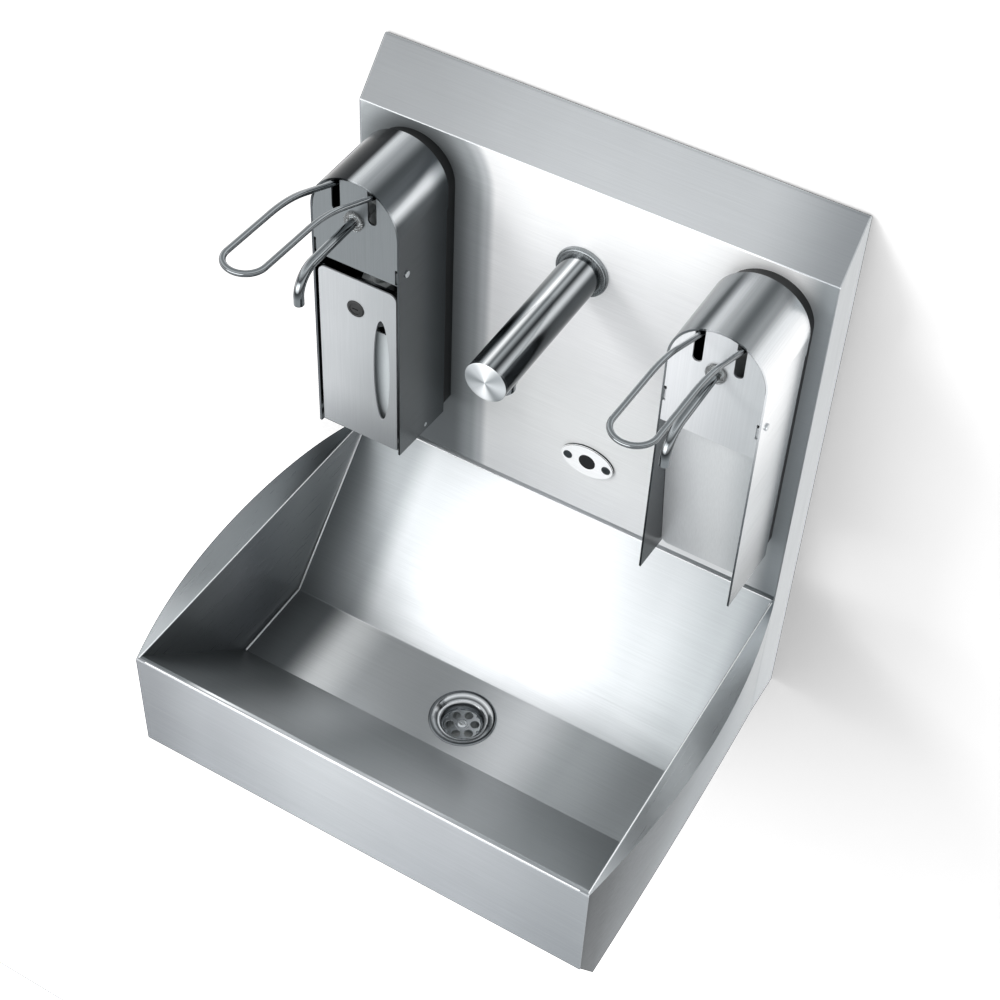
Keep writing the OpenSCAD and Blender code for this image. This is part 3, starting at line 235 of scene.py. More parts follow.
def painted_turned_sectors(material, height, stops):
    """Painted highlights and reflections in light and dark sectors, as a face turned on a lathe shows them
    round its centre at this height.
    """
    tree = material.node_tree
    place = add(tree, "ShaderNodeSeparateXYZ", (0, place_in(tree)))
    up = fixed(tree, "ShaderNodeMath", "SUBTRACT", place.outputs[2], height)
    angle = add(tree, "ShaderNodeMath", (0, up.outputs[0]), (1, place.outputs[0]), operation="ARCTAN2")
    return over_base(material, ramped(tree, ranged(tree, angle.outputs[0], -math.pi, math.pi), stops))


def brushed_steel(name, grain, tone=None, rough=0.34, streak=0.10, cloud=0.05, bump=0.06, painted_tones=(), smear=0.0,
                  metal=1.0):
    """Stainless sheet, belt-brushed: long fine lines along the grain, a satin sheen.

    The lines are drawn about 1 mm apart, coarser than real ones, the finest that the render shows.
    Its painted tone changes are painted light, shade and reflections across the sheet, made by the gradient
    function above. A sheet without them has one even tone.
    """
    material, tree, shader = blank(name, Metallic=metal, Anisotropic=smear)
    if smear:
        grain_way = add(tree, "ShaderNodeTangent", direction_type="UV_MAP", uv_map=GRAIN_LAYER)
        tree.links.new(grain_way.outputs[0], shader.inputs["Tangent"])
    place = place_in(tree)
    scale = [(1 - part * (1 - 1 / LINE_STRETCH)) / LINE_PITCH for part in grain]
    stretched = add(tree, "ShaderNodeMapping", ("Vector", place), Scale=scale)
    lines = add(tree, "ShaderNodeTexNoise", ("Vector", stretched.outputs[0]), Scale=1.0, Detail=3.0,
                Roughness=0.65).outputs[0]
    clouds = add(tree, "ShaderNodeTexNoise", ("Vector", place), Scale=14.0, Detail=2.0).outputs[0]
    colour = painted_light_gradients(tree, place, painted_tones) if painted_tones else tone
    for noise, depth in ((lines, streak), (clouds, cloud)):
        colour = multiplied(tree, colour, ranged(tree, noise, NOISE_LOW, NOISE_HIGH, 1 - depth, 1.0))
    tree.links.new(colour, shader.inputs["Base Color"])
    sheen = ranged(tree, lines, 0.2, 0.8, rough + 0.05, rough - 0.05)
    tree.links.new(sheen, shader.inputs["Roughness"])
    dents = add(tree, "ShaderNodeBump", ("Height", lines), Strength=bump, Distance=LINE_DEPTH)
    tree.links.new(dents.outputs[0], shader.inputs["Normal"])
    return material


def cast_or_moulded(name, rough, tone=None, metal=0.0, grit=0.002, depth=0.05, bump=0.05, painted_tones=(),
                    clear=0.0):
    """A moulded, cast or zinc-plated surface: a fine, faint grain of this grit in metres over its colour."""
    material, tree, shader = blank(name, Metallic=metal, Transmission_Weight=clear)
    place = place_in(tree)
    grain = add(tree, "ShaderNodeTexNoise", ("Vector", place), Scale=1 / grit, Detail=3.0).outputs[0]
    colour = painted_light_gradients(tree, place, painted_tones) if painted_tones else tone
    shade = ranged(tree, grain, NOISE_LOW, NOISE_HIGH, 1 - depth, 1.0)
    tree.links.new(multiplied(tree, colour, shade), shader.inputs["Base Color"])
    sheen = ranged(tree, grain, 0.0, 1.0, rough - 0.05, rough + 0.06)
    tree.links.new(sheen, shader.inputs["Roughness"])
    dents = add(tree, "ShaderNodeBump", ("Height", grain), Strength=bump, Distance=GRAIN_DEPTH)
    tree.links.new(dents.outputs[0], shader.inputs["Normal"])
    return material


def make_sheet_finishes():
    """The folded stainless sheets: their painted tone changes are painted light, shade and reflections, what
    each one would mirror softly.
    """
    # panel: brushed across; painted shade beside the left housing and at the right edge, and painted light,
    # lighter towards the top
    FINISH["panel_sheet"] = painted_arch_shade(
        brushed_steel("brushed_steel_panel", X, rough=0.45, smear=0.8, metal=0.45, painted_tones=[
            (X, 0.205, 0.238, [(0, "#ffffff"), (1, "#92979a")]),
            (Z, 0.0, 0.43, [(0, "#f0f1f2"), (0.3, "#f8f9f9"), (0.6, "#fbfbfc"), (1, "#ffffff")])]),
        LEFT, ARCH, HALF_HOUSING, PAINTED_SHADE_REACH, [
            (0, "#75797b"), (0.5, "#a3a7a9"), (0.75, "#c6c9cb"), (1, "#ffffff")])
    # backs of the sheets: never brushed, the dull even grey of cold-rolled stainless
    FINISH["mill_back"] = brushed_steel("mill_finish_sheet_back", X, "#7b7f81", rough=0.5, streak=0.03,
                                        metal=0.7)
    # leaning top: painted reflection of the duller air above, a light grey, darker towards both ends
    FINISH["panel_top"] = brushed_steel("brushed_steel_leaning_top", X, painted_tones=[
        (X, *WIDTH, [(0, "#a7a9ab"), (0.55, "#c6c8ca"), (0.8, "#c3c5c7"), (1, "#929598")])])
    # side edges of the panel: the same sheet, brushed upright, painted an even grey darker than the face:
    # painted shade
    FINISH["panel_edge"] = brushed_steel("brushed_steel_side_edge", Z, "#b9bcbe")
    # skirts: brushed to the front, with painted shade darkening them towards the front
    FINISH["side_sheet"] = brushed_steel("brushed_steel_skirt", Y, painted_tones=[
        (Y, -0.456, -0.05, [(0, "#2b2e30"), (0.25, "#484c4f"), (0.55, "#787d80"), (1, "#a9adaf")])])
    # crest: the folded curved upper edge, painted light in front and painted shade, grey, towards the wall
    FINISH["crest"] = brushed_steel("brushed_steel_crest", Y, rough=0.3, streak=0.04, bump=0.02, painted_tones=[
        (Y, -0.44, -0.06, [(0, "#d0d3d5"), (0.35, "#acb0b2"), (0.8, "#a0a5a8"), (1, "#989da0")])])
    # rear slope of the bowl: brushed across; painted light, almost white in its middle, and painted shade,
    # darker towards its ends
    FINISH["bowl_sheet"] = brushed_steel("brushed_steel_slope", X, painted_tones=[
        (X, *WIDTH, [(0, "#686c6e"), (0.13, "#989c9e"), (0.2, "#c0c3c5"), (0.4, "#d6d8da"),
                     (0.58, "#d6d8da"), (0.78, "#b9bcbe"), (0.93, "#a4a8aa"), (1, "#7b8083")])])
    # floor: painted reflections of the dark front slope and the pale room in broad bands
    FINISH["bowl_floor"] = brushed_steel("brushed_steel_floor", X, rough=0.32, metal=0.6, painted_tones=[
        (X, *WIDTH, [(0, "#5d6163"), (0.09, "#75797b"), (0.17, "#fafbfb"), (0.27, "#c3c6c8"),
                     (0.45, "#acafb1"), (0.62, "#d3d5d7"), (0.75, "#a3a7a9"), (0.88, "#8f9395"),
                     (1, "#9fa3a5")])])
    # front slope: painted shade, a mid grey as it faces away from the light, with lighter painted bands
    FINISH["bowl_front"] = brushed_steel("brushed_steel_front_slope", X, metal=0.6, painted_tones=[
        (X, *WIDTH, [(0, "#54585a"), (0.12, "#84888a"), (0.3, "#bfc2c4"), (0.42, "#9a9ea0"),
                     (0.65, "#acafb1"), (0.85, "#9da1a3"), (1, "#979b9d")])])
    # end walls of the bowl: upright, with the painted shade of the crests, darkest towards the front
    FINISH["bowl_end"] = brushed_steel("brushed_steel_end_walls", Y, rough=0.3, metal=0.6, painted_tones=[
        (Y, -0.40, -0.06, [(0, "#4f5355"), (0.4, "#6d7175"), (0.7, "#8f9395"), (1, "#c4c7c9")])])
    # apron: brushed across, painted light: lightest left of its middle and towards its top
    FINISH["apron_sheet"] = brushed_steel("brushed_steel_apron", X, painted_tones=[
        (X, *WIDTH, [(0, "#97999c"), (0.15, "#b3b5b8"), (0.42, "#c9cbcd"), (0.7, "#b8babd"), (1, "#9da0a3")]),
        (Z, -0.131, 0.0, [(0, "#ecedee"), (1, "#ffffff")])])
    # weld: the ground and polished bead along the bowl's corners, and the rods on the rim's folds: a near-white
    # painted highlight, a bright thin line
    FINISH["weld"] = brushed_steel("polished_weld_bead", Y, "#f4f5f6", rough=0.3, metal=0.4)


def make_dispenser_finishes():
    """Housings, plates, cover and guard: thinner stainless sheet with the same brushing."""
    # housings: brushed to the front; painted reflections of the room in bands that run along the arch, and
    # painted light and shade that change with height, each housing painted on its own
    FINISH["housing_metal"] = brushed_steel("brushed_steel_housing_left", Y, rough=0.22, painted_tones=[
        (X, LEFT - HALF_HOUSING, LEFT + HALF_HOUSING, [
            (0, "#7b7f81"), (0.04, "#3a3d3f"), (0.1, "#7b7f81"), (0.16, "#5d6163"), (0.23, "#1a1c1d"),
            (0.42, "#26282a"), (0.5, "#e6e8e9"), (0.62, "#a9acae"), (0.75, "#505456"),
            (0.86, "#63676a"), (0.935, "#dddfe0"), (0.985, "#5d6163"), (1, "#55595b")]),
        (Z, 0.09, 0.38, [(0, "#ffffff"), (1, "#e8e9ea")])])
    FINISH["housing_right"] = brushed_steel("brushed_steel_housing_right", Y, rough=0.22, painted_tones=[
        (X, RIGHT - HALF_HOUSING, RIGHT + HALF_HOUSING, [
            (0, "#84888a"), (0.2, "#63676a"), (0.28, "#5d6163"), (0.38, "#d0d2d4"), (0.5, "#a2a5a7"),
            (0.62, "#606466"), (0.75, "#95989a"), (0.86, "#f0f1f2"), (1, "#f6f7f8")]),
        (Z, 0.09, 0.37, [(0, "#808486"), (0.45, "#c0c3c5"), (1, "#ffffff")])])
    # front plates: brushed upright; the left one painted an even darker grey, painted shade, and the right one
    # painted lighter, painted light, as it faces the light more
    FINISH["front_plate_metal"] = brushed_steel("brushed_steel_front", Z, "#8b8f91", rough=0.32)
    FINISH["front_plate_painted_light"] = brushed_steel("brushed_steel_front_light", Z, rough=0.32, metal=0.6,
                                                painted_tones=[(X, RIGHT - HALF_PLATE, RIGHT + HALF_PLATE,
                                                        [(0, "#dfe0e2"), (1, "#bcbfc1")])])
    # cover: brushed upright, with painted shade: darker to the right and a little darker at its foot
    FINISH["cover_metal"] = brushed_steel("brushed_steel_cover", Z, rough=0.38, metal=0.45, painted_tones=[
        (X, LEFT - HALF_PLATE, LEFT + HALF_PLATE, [(0, "#b0b2b4"), (1, "#9fa2a4")]),
        (Z, 0.09, 0.16, [(0, "#dddedf"), (1, "#ffffff")])])
    # guard: the set-back slanting plate, brushed upright, with painted shade darker towards its right
    FINISH["guard_metal"] = brushed_steel("brushed_steel_guard", Z, rough=0.38, metal=0.45, painted_tones=[
        (X, RIGHT - HALF_GUARD, RIGHT + HALF_GUARD, [(0, "#d2d4d6"), (0.6, "#d7d9da"), (1, "#b9bdbf")])])
    # levers and dose tubes: bright-drawn round stock, polished, with painted reflections in light and dark
    # lines along it
    drawn = [(0, "#6d7173"), (0.3, "#35383a"), (0.5, "#8f9395"), (0.62, "#2f3234"), (0.72, "#b5b8ba"),
             (0.8, "#3a3d3f"), (0.9, "#c9ccce"), (1, "#7b7f81")]
    FINISH["lever_wire"] = painted_reflection_lines(brushed_steel("drawn_steel_wire", Y, "#e6e8e9", rough=0.16), drawn)
    FINISH["dose_tube_metal"] = painted_reflection_lines(brushed_steel("drawn_steel_tube", Y, "#e6e8e9", rough=0.14), drawn)
    # inner works: ground piston, coiled spring steel, grey acetal pump, milky bottle with the painted shade of
    # the housing, darker to the left
    FINISH["piston_steel"] = brushed_steel("ground_steel_piston", Z, "#d0d3d5", rough=0.15)
    FINISH["spring_steel"] = brushed_steel("spring_steel", Z, "#b5b9bc", rough=0.25)
    FINISH["pump_plastic"] = cast_or_moulded("grey_acetal", 0.38, "#c4c8c9")
    FINISH["bottle_white"] = cast_or_moulded("milky_polyethylene", 0.4, painted_tones=[
        (X, LEFT + 0.014, LEFT + 0.040, [(0, "#8f9598"), (0.5, "#a9aeb0"), (1, "#c6cacc")])])
    # back plates: near black, painted shade of the dark gap behind each housing; the lock: black zinc casting;
    # both dull
    FINISH["dark_plate"] = cast_or_moulded("black_coated_steel", 0.5, "#0b0c0d")
    FINISH["lock_black"] = cast_or_moulded("black_zinc_casting", 0.5, "#0a0b0b")
    # sleeve round the dose tube's root: clear acrylic, so the plate shows through it
    FINISH["clear_plastic"] = cast_or_moulded("clear_acrylic", 0.06, "#eef1f2", clear=0.9, bump=0.0)


def make_small_finishes():
    """Spout, sensor, waste, screws, rubber, plastic and what sits behind the panel."""
    # spout: polished tube, with painted reflections of the dark and light room in sharp lines along it
    FINISH["polished_spout"] = brushed_steel("polished_steel_spout", Y, rough=0.13, streak=0.04, painted_tones=[
        (X, -SPOUT_R, SPOUT_R, [(0, "#35383a"), (0.12, "#505456"), (0.25, "#4b4f51"), (0.36, "#8f9395"),
                              (0.45, "#f4f5f6"), (0.55, "#6d7173"), (0.6, "#9a9ea0"), (0.7, "#303335"),
                              (0.82, "#b9bcbe"), (0.92, "#3f4244"), (1, "#4b4f51")])])
    # spout's end: turned on a lathe, with painted highlights and reflections in light and dark sectors that
    # meet in its middle
    FINISH["spout_end"] = painted_turned_sectors(
        brushed_steel("turned_steel_spout_end", Y, "#f4f5f6", metal=0.5), SPOUT_H,
        [(0, "#85898b"), (0.12, "#b5b8ba"), (0.25, "#f4f5f6"), (0.36, "#8b8f91"), (0.5, "#c6c9cb"),
         (0.62, "#9a9ea0"), (0.75, "#fafbfb"), (0.88, "#b9bcbe"), (1, "#85898b")])
    # rosette: turned and satin, a mid grey ring
    FINISH["rosette"] = brushed_steel("turned_steel_rosette", Z, "#8b8f91", rough=0.26, metal=0.85)
    FINISH["aerator_chrome"] = cast_or_moulded("chrome_aerator", 0.14, "#7b7f82", metal=1.0)
    # waste: deep-drawn and turned steel, satin, with painted reflections in light and dark rings round the
    # flange
    FINISH["waste_metal"] = painted_turned_rings(
        brushed_steel("turned_steel_waste", Z, "#f4f5f6", rough=0.15, streak=0.03, bump=0.01, cloud=0.02),
        0, -WASTE_OUT, FLANGE_R, [(0, "#d0d2d4"), (0.56, "#c6c9cb"), (0.62, "#2f3234"), (0.7, "#f4f5f6"),
                            (0.76, "#45494b"), (0.84, "#ebeced"), (0.92, "#505456"), (1, "#9da0a3")])
    # sensor plate: satin cast steel with a nearly white face; its upright edge painted dark, a painted
    # reflection of the dark spout
    FINISH["sensor_metal"] = brushed_steel("satin_steel_sensor", X, "#f6f7f8", rough=0.42, metal=0.3)
    FINISH["sensor_edge"] = brushed_steel("steel_sensor_edge", X, "#2b2e30", rough=0.3)
    FINISH["eye_black"] = cast_or_moulded("black_lens_plastic", 0.12, "#08090a")
    FINISH["dull_screw"] = brushed_steel("dull_screw_heads", Y, "#5d6265", rough=0.35)
    # screws, pins and axles: bright machined steel
    FINISH["fastener_steel"] = brushed_steel("machined_steel_fasteners", Y, "#cdd0d2", rough=0.22)
    # behind the panel: zinc-plated frame, brass nut and valve, steel braid, rubber, plastics
    FINISH["zinc_steel"] = cast_or_moulded("zinc_plated_steel", 0.42, "#858b8f", metal=1.0, grit=0.006,
                                           depth=0.15)
    FINISH["yellow_brass"] = cast_or_moulded("turned_brass", 0.28, "#c9a869", metal=1.0)
    FINISH["braided_hose"] = cast_or_moulded("steel_braid", 0.35, "#b7bbbe", metal=1.0, depth=0.4, bump=0.4)
    FINISH["black_rubber"] = cast_or_moulded("black_rubber", 0.6, "#131414")
    FINISH["dark_plastic"] = cast_or_moulded("dark_abs", 0.42, "#26292b")
    FINISH["cable_black"] = cast_or_moulded("black_pvc_cable", 0.4, "#141516")
    FINISH["light_plastic"] = cast_or_moulded("light_abs", 0.4, "#d5d7d6")


def make_finishes():
    """Every finish once, by the record's material slot or by its own name."""
    if not FINISH:
        make_sheet_finishes()
        make_dispenser_finishes()
        make_small_finishes()


# ---------------------------------------------------------------- making

# points nearer than this are one point, and faces that bend less than this are one face
JOIN_UNDER = 0.000004
FLAT_UNDER = math.radians(0.1)
# side of the cube that the grain's UV layer is projected from, in metres
GRAIN_TILE = 0.1
ROUND_UNDER, COIL_ROUND_UNDER = math.radians(40), math.radians(50)
ROD_SIDES, WIRE_SIDES, COIL_STEPS = 16, 10, 24
# a pump spring: its wire's radius, its turns, the air at each end, and the pump's stroke, in metres
SPRING_WIRE, SPRING_TURNS, SPRING_GAP, PUMP_STROKE = 0.0009, 6, 0.0004, 0.0082


def only(piece):
    """Selects this piece alone."""
    bpy.ops.object.select_all(action="DESELECT")
    bpy.context.view_layer.objects.active = piece
    piece.select_set(True)


def dressed(piece, node, finish=None):
    """Gives a piece its body, slot and finish, and lets it stand for this node."""
    slot = SLOT_OF[node]
    piece.data.materials.clear()
    piece.data.materials.append(finish or FINISH[slot])
    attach(piece, BODY_OF[node])
    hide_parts(node)
    return piece


def paint(piece, finish, test):
    """Gives the faces that pass a test of their normal and centre another finish."""
    piece.data.materials.append(FINISH[finish])
    for face in piece.data.polygons:
        if test(face.normal, face.center):
            face.material_index = len(piece.data.materials) - 1


def finished(node, finish=None):
    """A copy of a CAD node: its triangles joined into whole faces, its edges broken by a small bevel."""
    make_finishes()
    sizes = bpy.context.scene.sink_sizes
    edge, angle = sizes.broken_edge, sizes.smooth_under
    source = frame["nodes"][node]
    piece = bpy.data.objects.new(node + "_finished", source.data.copy())
    bpy.context.scene.collection.objects.link(piece)
    only(piece)
    bpy.ops.object.mode_set(mode="EDIT")
    bpy.ops.mesh.select_all(action="SELECT")
    bpy.ops.mesh.remove_doubles(threshold=JOIN_UNDER)
    bpy.ops.mesh.dissolve_limited(angle_limit=FLAT_UNDER, delimit={"NORMAL"})
    bpy.ops.object.mode_set(mode="OBJECT")
    for layer in list(piece.data.uv_layers):
        piece.data.uv_layers.remove(layer)
    if edge:
        bevel = piece.modifiers.new("broken_edges", "BEVEL")
        bevel.width = edge
        bevel.segments = 2
        bevel.limit_method = "ANGLE"
        bevel.angle_limit = angle
        bevel.use_clamp_overlap = True
        bpy.ops.object.modifier_apply(modifier=bevel.name)
    bpy.ops.object.shade_smooth_by_angle(angle=angle)
    weigh = piece.modifiers.new("flat_faces_stay_flat", "WEIGHTED_NORMAL")
    weigh.keep_sharp = True
    bpy.ops.object.modifier_apply(modifier=weigh.name)
    piece.data.uv_layers.new(name=GRAIN_LAYER)
    bpy.ops.object.mode_set(mode="EDIT")
    bpy.ops.mesh.select_all(action="SELECT")
    bpy.ops.uv.cube_project(cube_size=GRAIN_TILE)
    bpy.ops.object.mode_set(mode="OBJECT")
    return dressed(piece, node, FINISH.get(finish))


def finish_all(*nodes):
    """Finished copies of these nodes."""
    for node in nodes:
        finished(node)


def rods(name, radius, ends, finish, node):
    """One piece of thin round rods on a CAD node, each between two points in metres."""
    make_finishes()
    made = []
    for start, end in ends:
        start, end = Vector(start), Vector(end)
        bpy.ops.mesh.primitive_cylinder_add(vertices=ROD_SIDES, radius=radius, depth=(end - start).length,
                                            location=(start + end) / 2,
                                            rotation=(end - start).to_track_quat("Z", "Y").to_euler())
        made.append(bpy.context.object)
    bpy.ops.object.select_all(action="DESELECT")
    for rod in made:
        rod.select_set(True)
    bpy.context.view_layer.objects.active = made[0]
    bpy.ops.object.join()
    piece = bpy.context.object
    piece.name = name
    bpy.ops.object.transform_apply(location=True, rotation=True, scale=True)
    rounded = piece.modifiers.new("rounded_ends", "BEVEL")
    rounded.width = radius / 2
    rounded.segments = 2
    bpy.ops.object.modifier_apply(modifier=rounded.name)
    bpy.ops.object.shade_smooth_by_angle(angle=ROUND_UNDER)
    piece.data.materials.append(FINISH[finish])
    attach(piece, BODY_OF[node])


def coil(node):
    """A wound pump spring just inside its CAD sleeve's ends."""
    make_finishes()
    low, high = (Vector(corner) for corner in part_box(node))
    low.z += SPRING_GAP
    high.z -= SPRING_GAP
    reach = (high.x - low.x) / 2 - SPRING_WIRE
    height = high.z - low.z
    bpy.ops.object.select_all(action="DESELECT")
    bpy.ops.mesh.primitive_circle_add(vertices=WIRE_SIDES, radius=SPRING_WIRE, fill_type="NOTHING",
                                      location=(reach, 0, SPRING_WIRE), rotation=(math.pi / 2, 0, 0))
    piece = bpy.context.object
    piece.name = node + "_coil"
    bpy.ops.object.transform_apply(location=True, rotation=True, scale=True)
    wind = piece.modifiers.new("winding", "SCREW")
    wind.axis, wind.angle, wind.iterations = "Z", 2 * math.pi, SPRING_TURNS
    wind.screw_offset = (height - 2 * SPRING_WIRE) / SPRING_TURNS
    wind.steps = wind.render_steps = COIL_STEPS
    bpy.ops.object.modifier_apply(modifier=wind.name)
    bpy.ops.object.mode_set(mode="EDIT")
    bpy.ops.mesh.select_all(action="SELECT")
    bpy.ops.mesh.remove_doubles(threshold=JOIN_UNDER)
    bpy.ops.mesh.fill_holes(sides=WIRE_SIDES)
    bpy.ops.mesh.select_all(action="SELECT")
    bpy.ops.mesh.normals_make_consistent(inside=False)
    bpy.ops.object.mode_set(mode="OBJECT")
    piece.location = ((low.x + high.x) / 2, (low.y + high.y) / 2, low.z)
    bpy.ops.object.transform_apply(location=True, rotation=True, scale=True)
    bpy.ops.object.shade_smooth_by_angle(angle=COIL_ROUND_UNDER)
    dressed(piece, node)
    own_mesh(piece)


# ---------------------------------------------------------------- stage

CAMERA_PLACE = (0.6298, -1.3492, 1.5785)
CAMERA_AZIMUTH, CAMERA_ELEVATION, CAMERA_ROLL = 28.53, 47.53, -2.85
CAMERA_LENS, CAMERA_SENSOR = 72.08, 36
STAGE_ROUGH = 0.8
# the wall stands just behind the sink, and the floor so low that no view sees where they meet
STAGE_PLANES = (("stage_wall", 8, (0, 0.0006, 0), (math.pi / 2, 0, 0)),
                ("stage_floor", 10, (0, -3.5, -2.2), (0, 0, 0)))
ROOM_LIGHT = 1.2


def area_light(name, place, target, size, watts):
    """A rectangular light of this width and height that faces its target."""
    light = bpy.data.lights.new(name, "AREA")
    light.shape = "RECTANGLE"
    (light.size, light.size_y), light.energy = size, watts
    lamp = bpy.data.objects.new(name, light)
    bpy.context.scene.collection.objects.link(lamp)
    lamp.location = place
    lamp.rotation_mode = "QUATERNION"
    lamp.rotation_quaternion = (Vector(place) - Vector(target)).to_track_quat("Z", "Y")
    return lamp


def set_stage():
    """Camera at the photograph's view, pale wall and floor, soft lights."""
    az, el, roll = (math.radians(a) for a in (CAMERA_AZIMUTH, CAMERA_ELEVATION, CAMERA_ROLL))
    ahead = Vector((-math.sin(az) * math.cos(el), math.cos(az) * math.cos(el), -math.sin(el)))
    right = ahead.cross(Vector(Z)).normalized()
    down = ahead.cross(right)
    c, s = math.cos(roll), math.sin(roll)
    across, below = right * c + down * s, down * c - right * s
    camera = bpy.data.objects.new("photo_view", bpy.data.cameras.new("photo_view"))
    bpy.context.scene.collection.objects.link(camera)
    camera.data.lens = CAMERA_LENS
    camera.data.sensor_width = CAMERA_SENSOR
    camera.matrix_world = Matrix.Translation(CAMERA_PLACE) @ Matrix(
        (across, -below, -ahead)).transposed().to_4x4()
    bpy.context.scene.camera = camera

    colours = bpy.context.scene.sink_colours
    paint_colour = (*colours.stage_paint, 1)
    white = blank("pale_stage_paint", Roughness=STAGE_ROUGH, Base_Color=paint_colour)[0]
    for name, size, at, turn in STAGE_PLANES:
        bpy.ops.mesh.primitive_plane_add(size=size, location=at, rotation=turn)
        plane = bpy.context.object
        plane.name = name
        plane.data.materials.append(white)

    # the wall is clear from behind and neither lights nor shades the sink, so the sink's back can be seen
    wall = bpy.data.objects["stage_wall"]
    wall.is_shadow_catcher = True
    wall.visible_diffuse = wall.visible_glossy = wall.visible_transmission = wall.visible_shadow = False
    one_sided, tree, shader = blank("one_sided_wall_paint", Roughness=STAGE_ROUGH, Base_Color=paint_colour)
    side = add(tree, "ShaderNodeNewGeometry").outputs["Backfacing"]
    clear = add(tree, "ShaderNodeBsdfTransparent").outputs[0]
    seen = add(tree, "ShaderNodeMixShader", (0, side), (1, shader.outputs[0]), (2, clear))
    tree.links.new(seen.outputs[0], tree.nodes["Material Output"].inputs["Surface"])
    wall.data.materials[0] = one_sided

    area_light("front_softbox", (-0.6, -2.4, 0.5), (0, 0, 0.1), (2.8, 1.6), 45)
    key = area_light("key_light", (-1.8, -1.6, 1.9), (0, -0.2, 0.1), (0.9, 0.9), 45)
    key.visible_glossy = False
    world = bpy.data.worlds.new("soft_room")
    world.use_nodes = True
    bpy.context.scene.world = world
    sky = world.node_tree
    height = add(sky, "ShaderNodeSeparateXYZ", (0, add(sky, "ShaderNodeTexCoord").outputs["Generated"]))
    room = ramped(sky, ranged(sky, height.outputs["Z"], -1.0, 1.0), [
        (0, colours.room_below), (0.42, "#ffffff"), (0.6, "#e6e9eb"), (0.8, "#f2f4f5"),
        (1, colours.room_above)], soft=False)
    sky.links.new(room, sky.nodes["Background"].inputs["Color"])
    sky.nodes["Background"].inputs["Strength"].default_value = ROOM_LIGHT
    bpy.context.scene.view_settings.view_transform = "Standard"


# ---------------------------------------------------------------- add-on

# lines on the basin, in metres, for the weld beads and the painted highlights on the folds: ends across, then
# (out from the wall, height) along the bowl's section
BOWL_END = 0.2470
BOWL_CORNERS = ((0.0530, -0.0020), (0.1960, -0.1500), (0.2980, -0.1500))
FOLD_END = 0.2460
FOLDS = ((0.0505, 0.0002), (0.4545, -0.0003))
# the painted highlight on the fold along the right crest, as two points; the left one mirrors it
SIDE_FOLD = ((0.2487, -0.0535, 0.0002), (0.2544, -0.4530, 0.0002))
# where a painted part of a sheet starts: the leaning top, the crest, the panel's side edge
TOP_FROM, CREST_OUT, CREST_FROM, EDGE_OUT = 0.42, 0.052, -0.002, 0.0497
# how squarely a face has to point a way to be painted
SLANTED, EDGE_ON, FACING, UPRIGHT, SQUARE = 0.3, 0.4, 0.5, 0.7, 0.9


def setting(name, description, **more):
    """A number of the add-on's sidebar."""
    return bpy.props.FloatProperty(name=name, description=description, **more)


def colour_setting(name, description, code):
    """A colour of the add-on's sidebar."""
    return bpy.props.FloatVectorProperty(name=name, description=description, default=linear(code), size=3,
                                         min=0, max=1, subtype="COLOR")


class SinkSizes(bpy.types.PropertyGroup):
    """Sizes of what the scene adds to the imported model."""

    broken_edge: setting("Broken edge", "Width of the bevel on every sharp edge", default=0.0003, unit="LENGTH")
    smooth_under: setting("Smooth under", "Edges flatter than this shade smoothly", default=math.radians(34),
                          subtype="ANGLE")
    weld_radius: setting("Weld radius", "Radius of the beads in the bowl's corners", default=0.0010,
                         unit="LENGTH")
    # the rods on the folds are painted highlights of the bent edges
    fold_highlight_radius: setting("Fold radius", "Radius of the bright line on a fold", default=0.0006, unit="LENGTH")


class SinkColours(bpy.types.PropertyGroup):
    """Colours of the stage."""

    stage_paint: colour_setting("Stage paint", "Colour of the wall and the floor", "#f4f5f6")
    room_above: colour_setting("Room above", "Colour that shines down on the sink", "#d9dcde")
    room_below: colour_setting("Room below", "Colour seen round and under the sink", "#ffffff")


class SinkPanel(bpy.types.Operator):
    """Splash panel and its side sheets with the curved crests"""

    bl_idname = "sink.panel"
    bl_label = "Panel and sides"

    def execute(self, context):
        panel = finished("splash_panel")
        # the leaning top, crests and side edges get finishes of painted light, shade and reflections; the backs
        # get the mill finish
        paint(panel, "panel_top", lambda n, c: n.z > SLANTED and c.z > TOP_FROM)
        paint(panel, "mill_back", lambda n, c: n.y > FACING or n.z < -SLANTED)
        for side in ("side_left", "side_right"):
            sheet = finished(side)
            paint(sheet, "crest", lambda n, c: c.y < -CREST_OUT and c.z > CREST_FROM and abs(n.z) > FACING)
            paint(sheet, "panel_edge", lambda n, c: c.y > -EDGE_OUT)
        return {"FINISHED"}


class SinkBasin(bpy.types.Operator):
    """Basin bowl and front apron"""

    bl_idname = "sink.basin"
    bl_label = "Basin and apron"

    def execute(self, context):
        bowl = finished("basin_bowl")
        paint(bowl, "mill_back", lambda n, c: n.z < -SLANTED)
        # the floor, front slope and end walls get finishes of painted reflections and painted shade
        paint(bowl, "bowl_floor", lambda n, c: n.z > SQUARE)
        paint(bowl, "bowl_front", lambda n, c: n.y > SLANTED and n.z > SLANTED)
        paint(bowl, "bowl_end", lambda n, c: abs(n.x) > UPRIGHT)
        finished("front_apron")
        return {"FINISHED"}


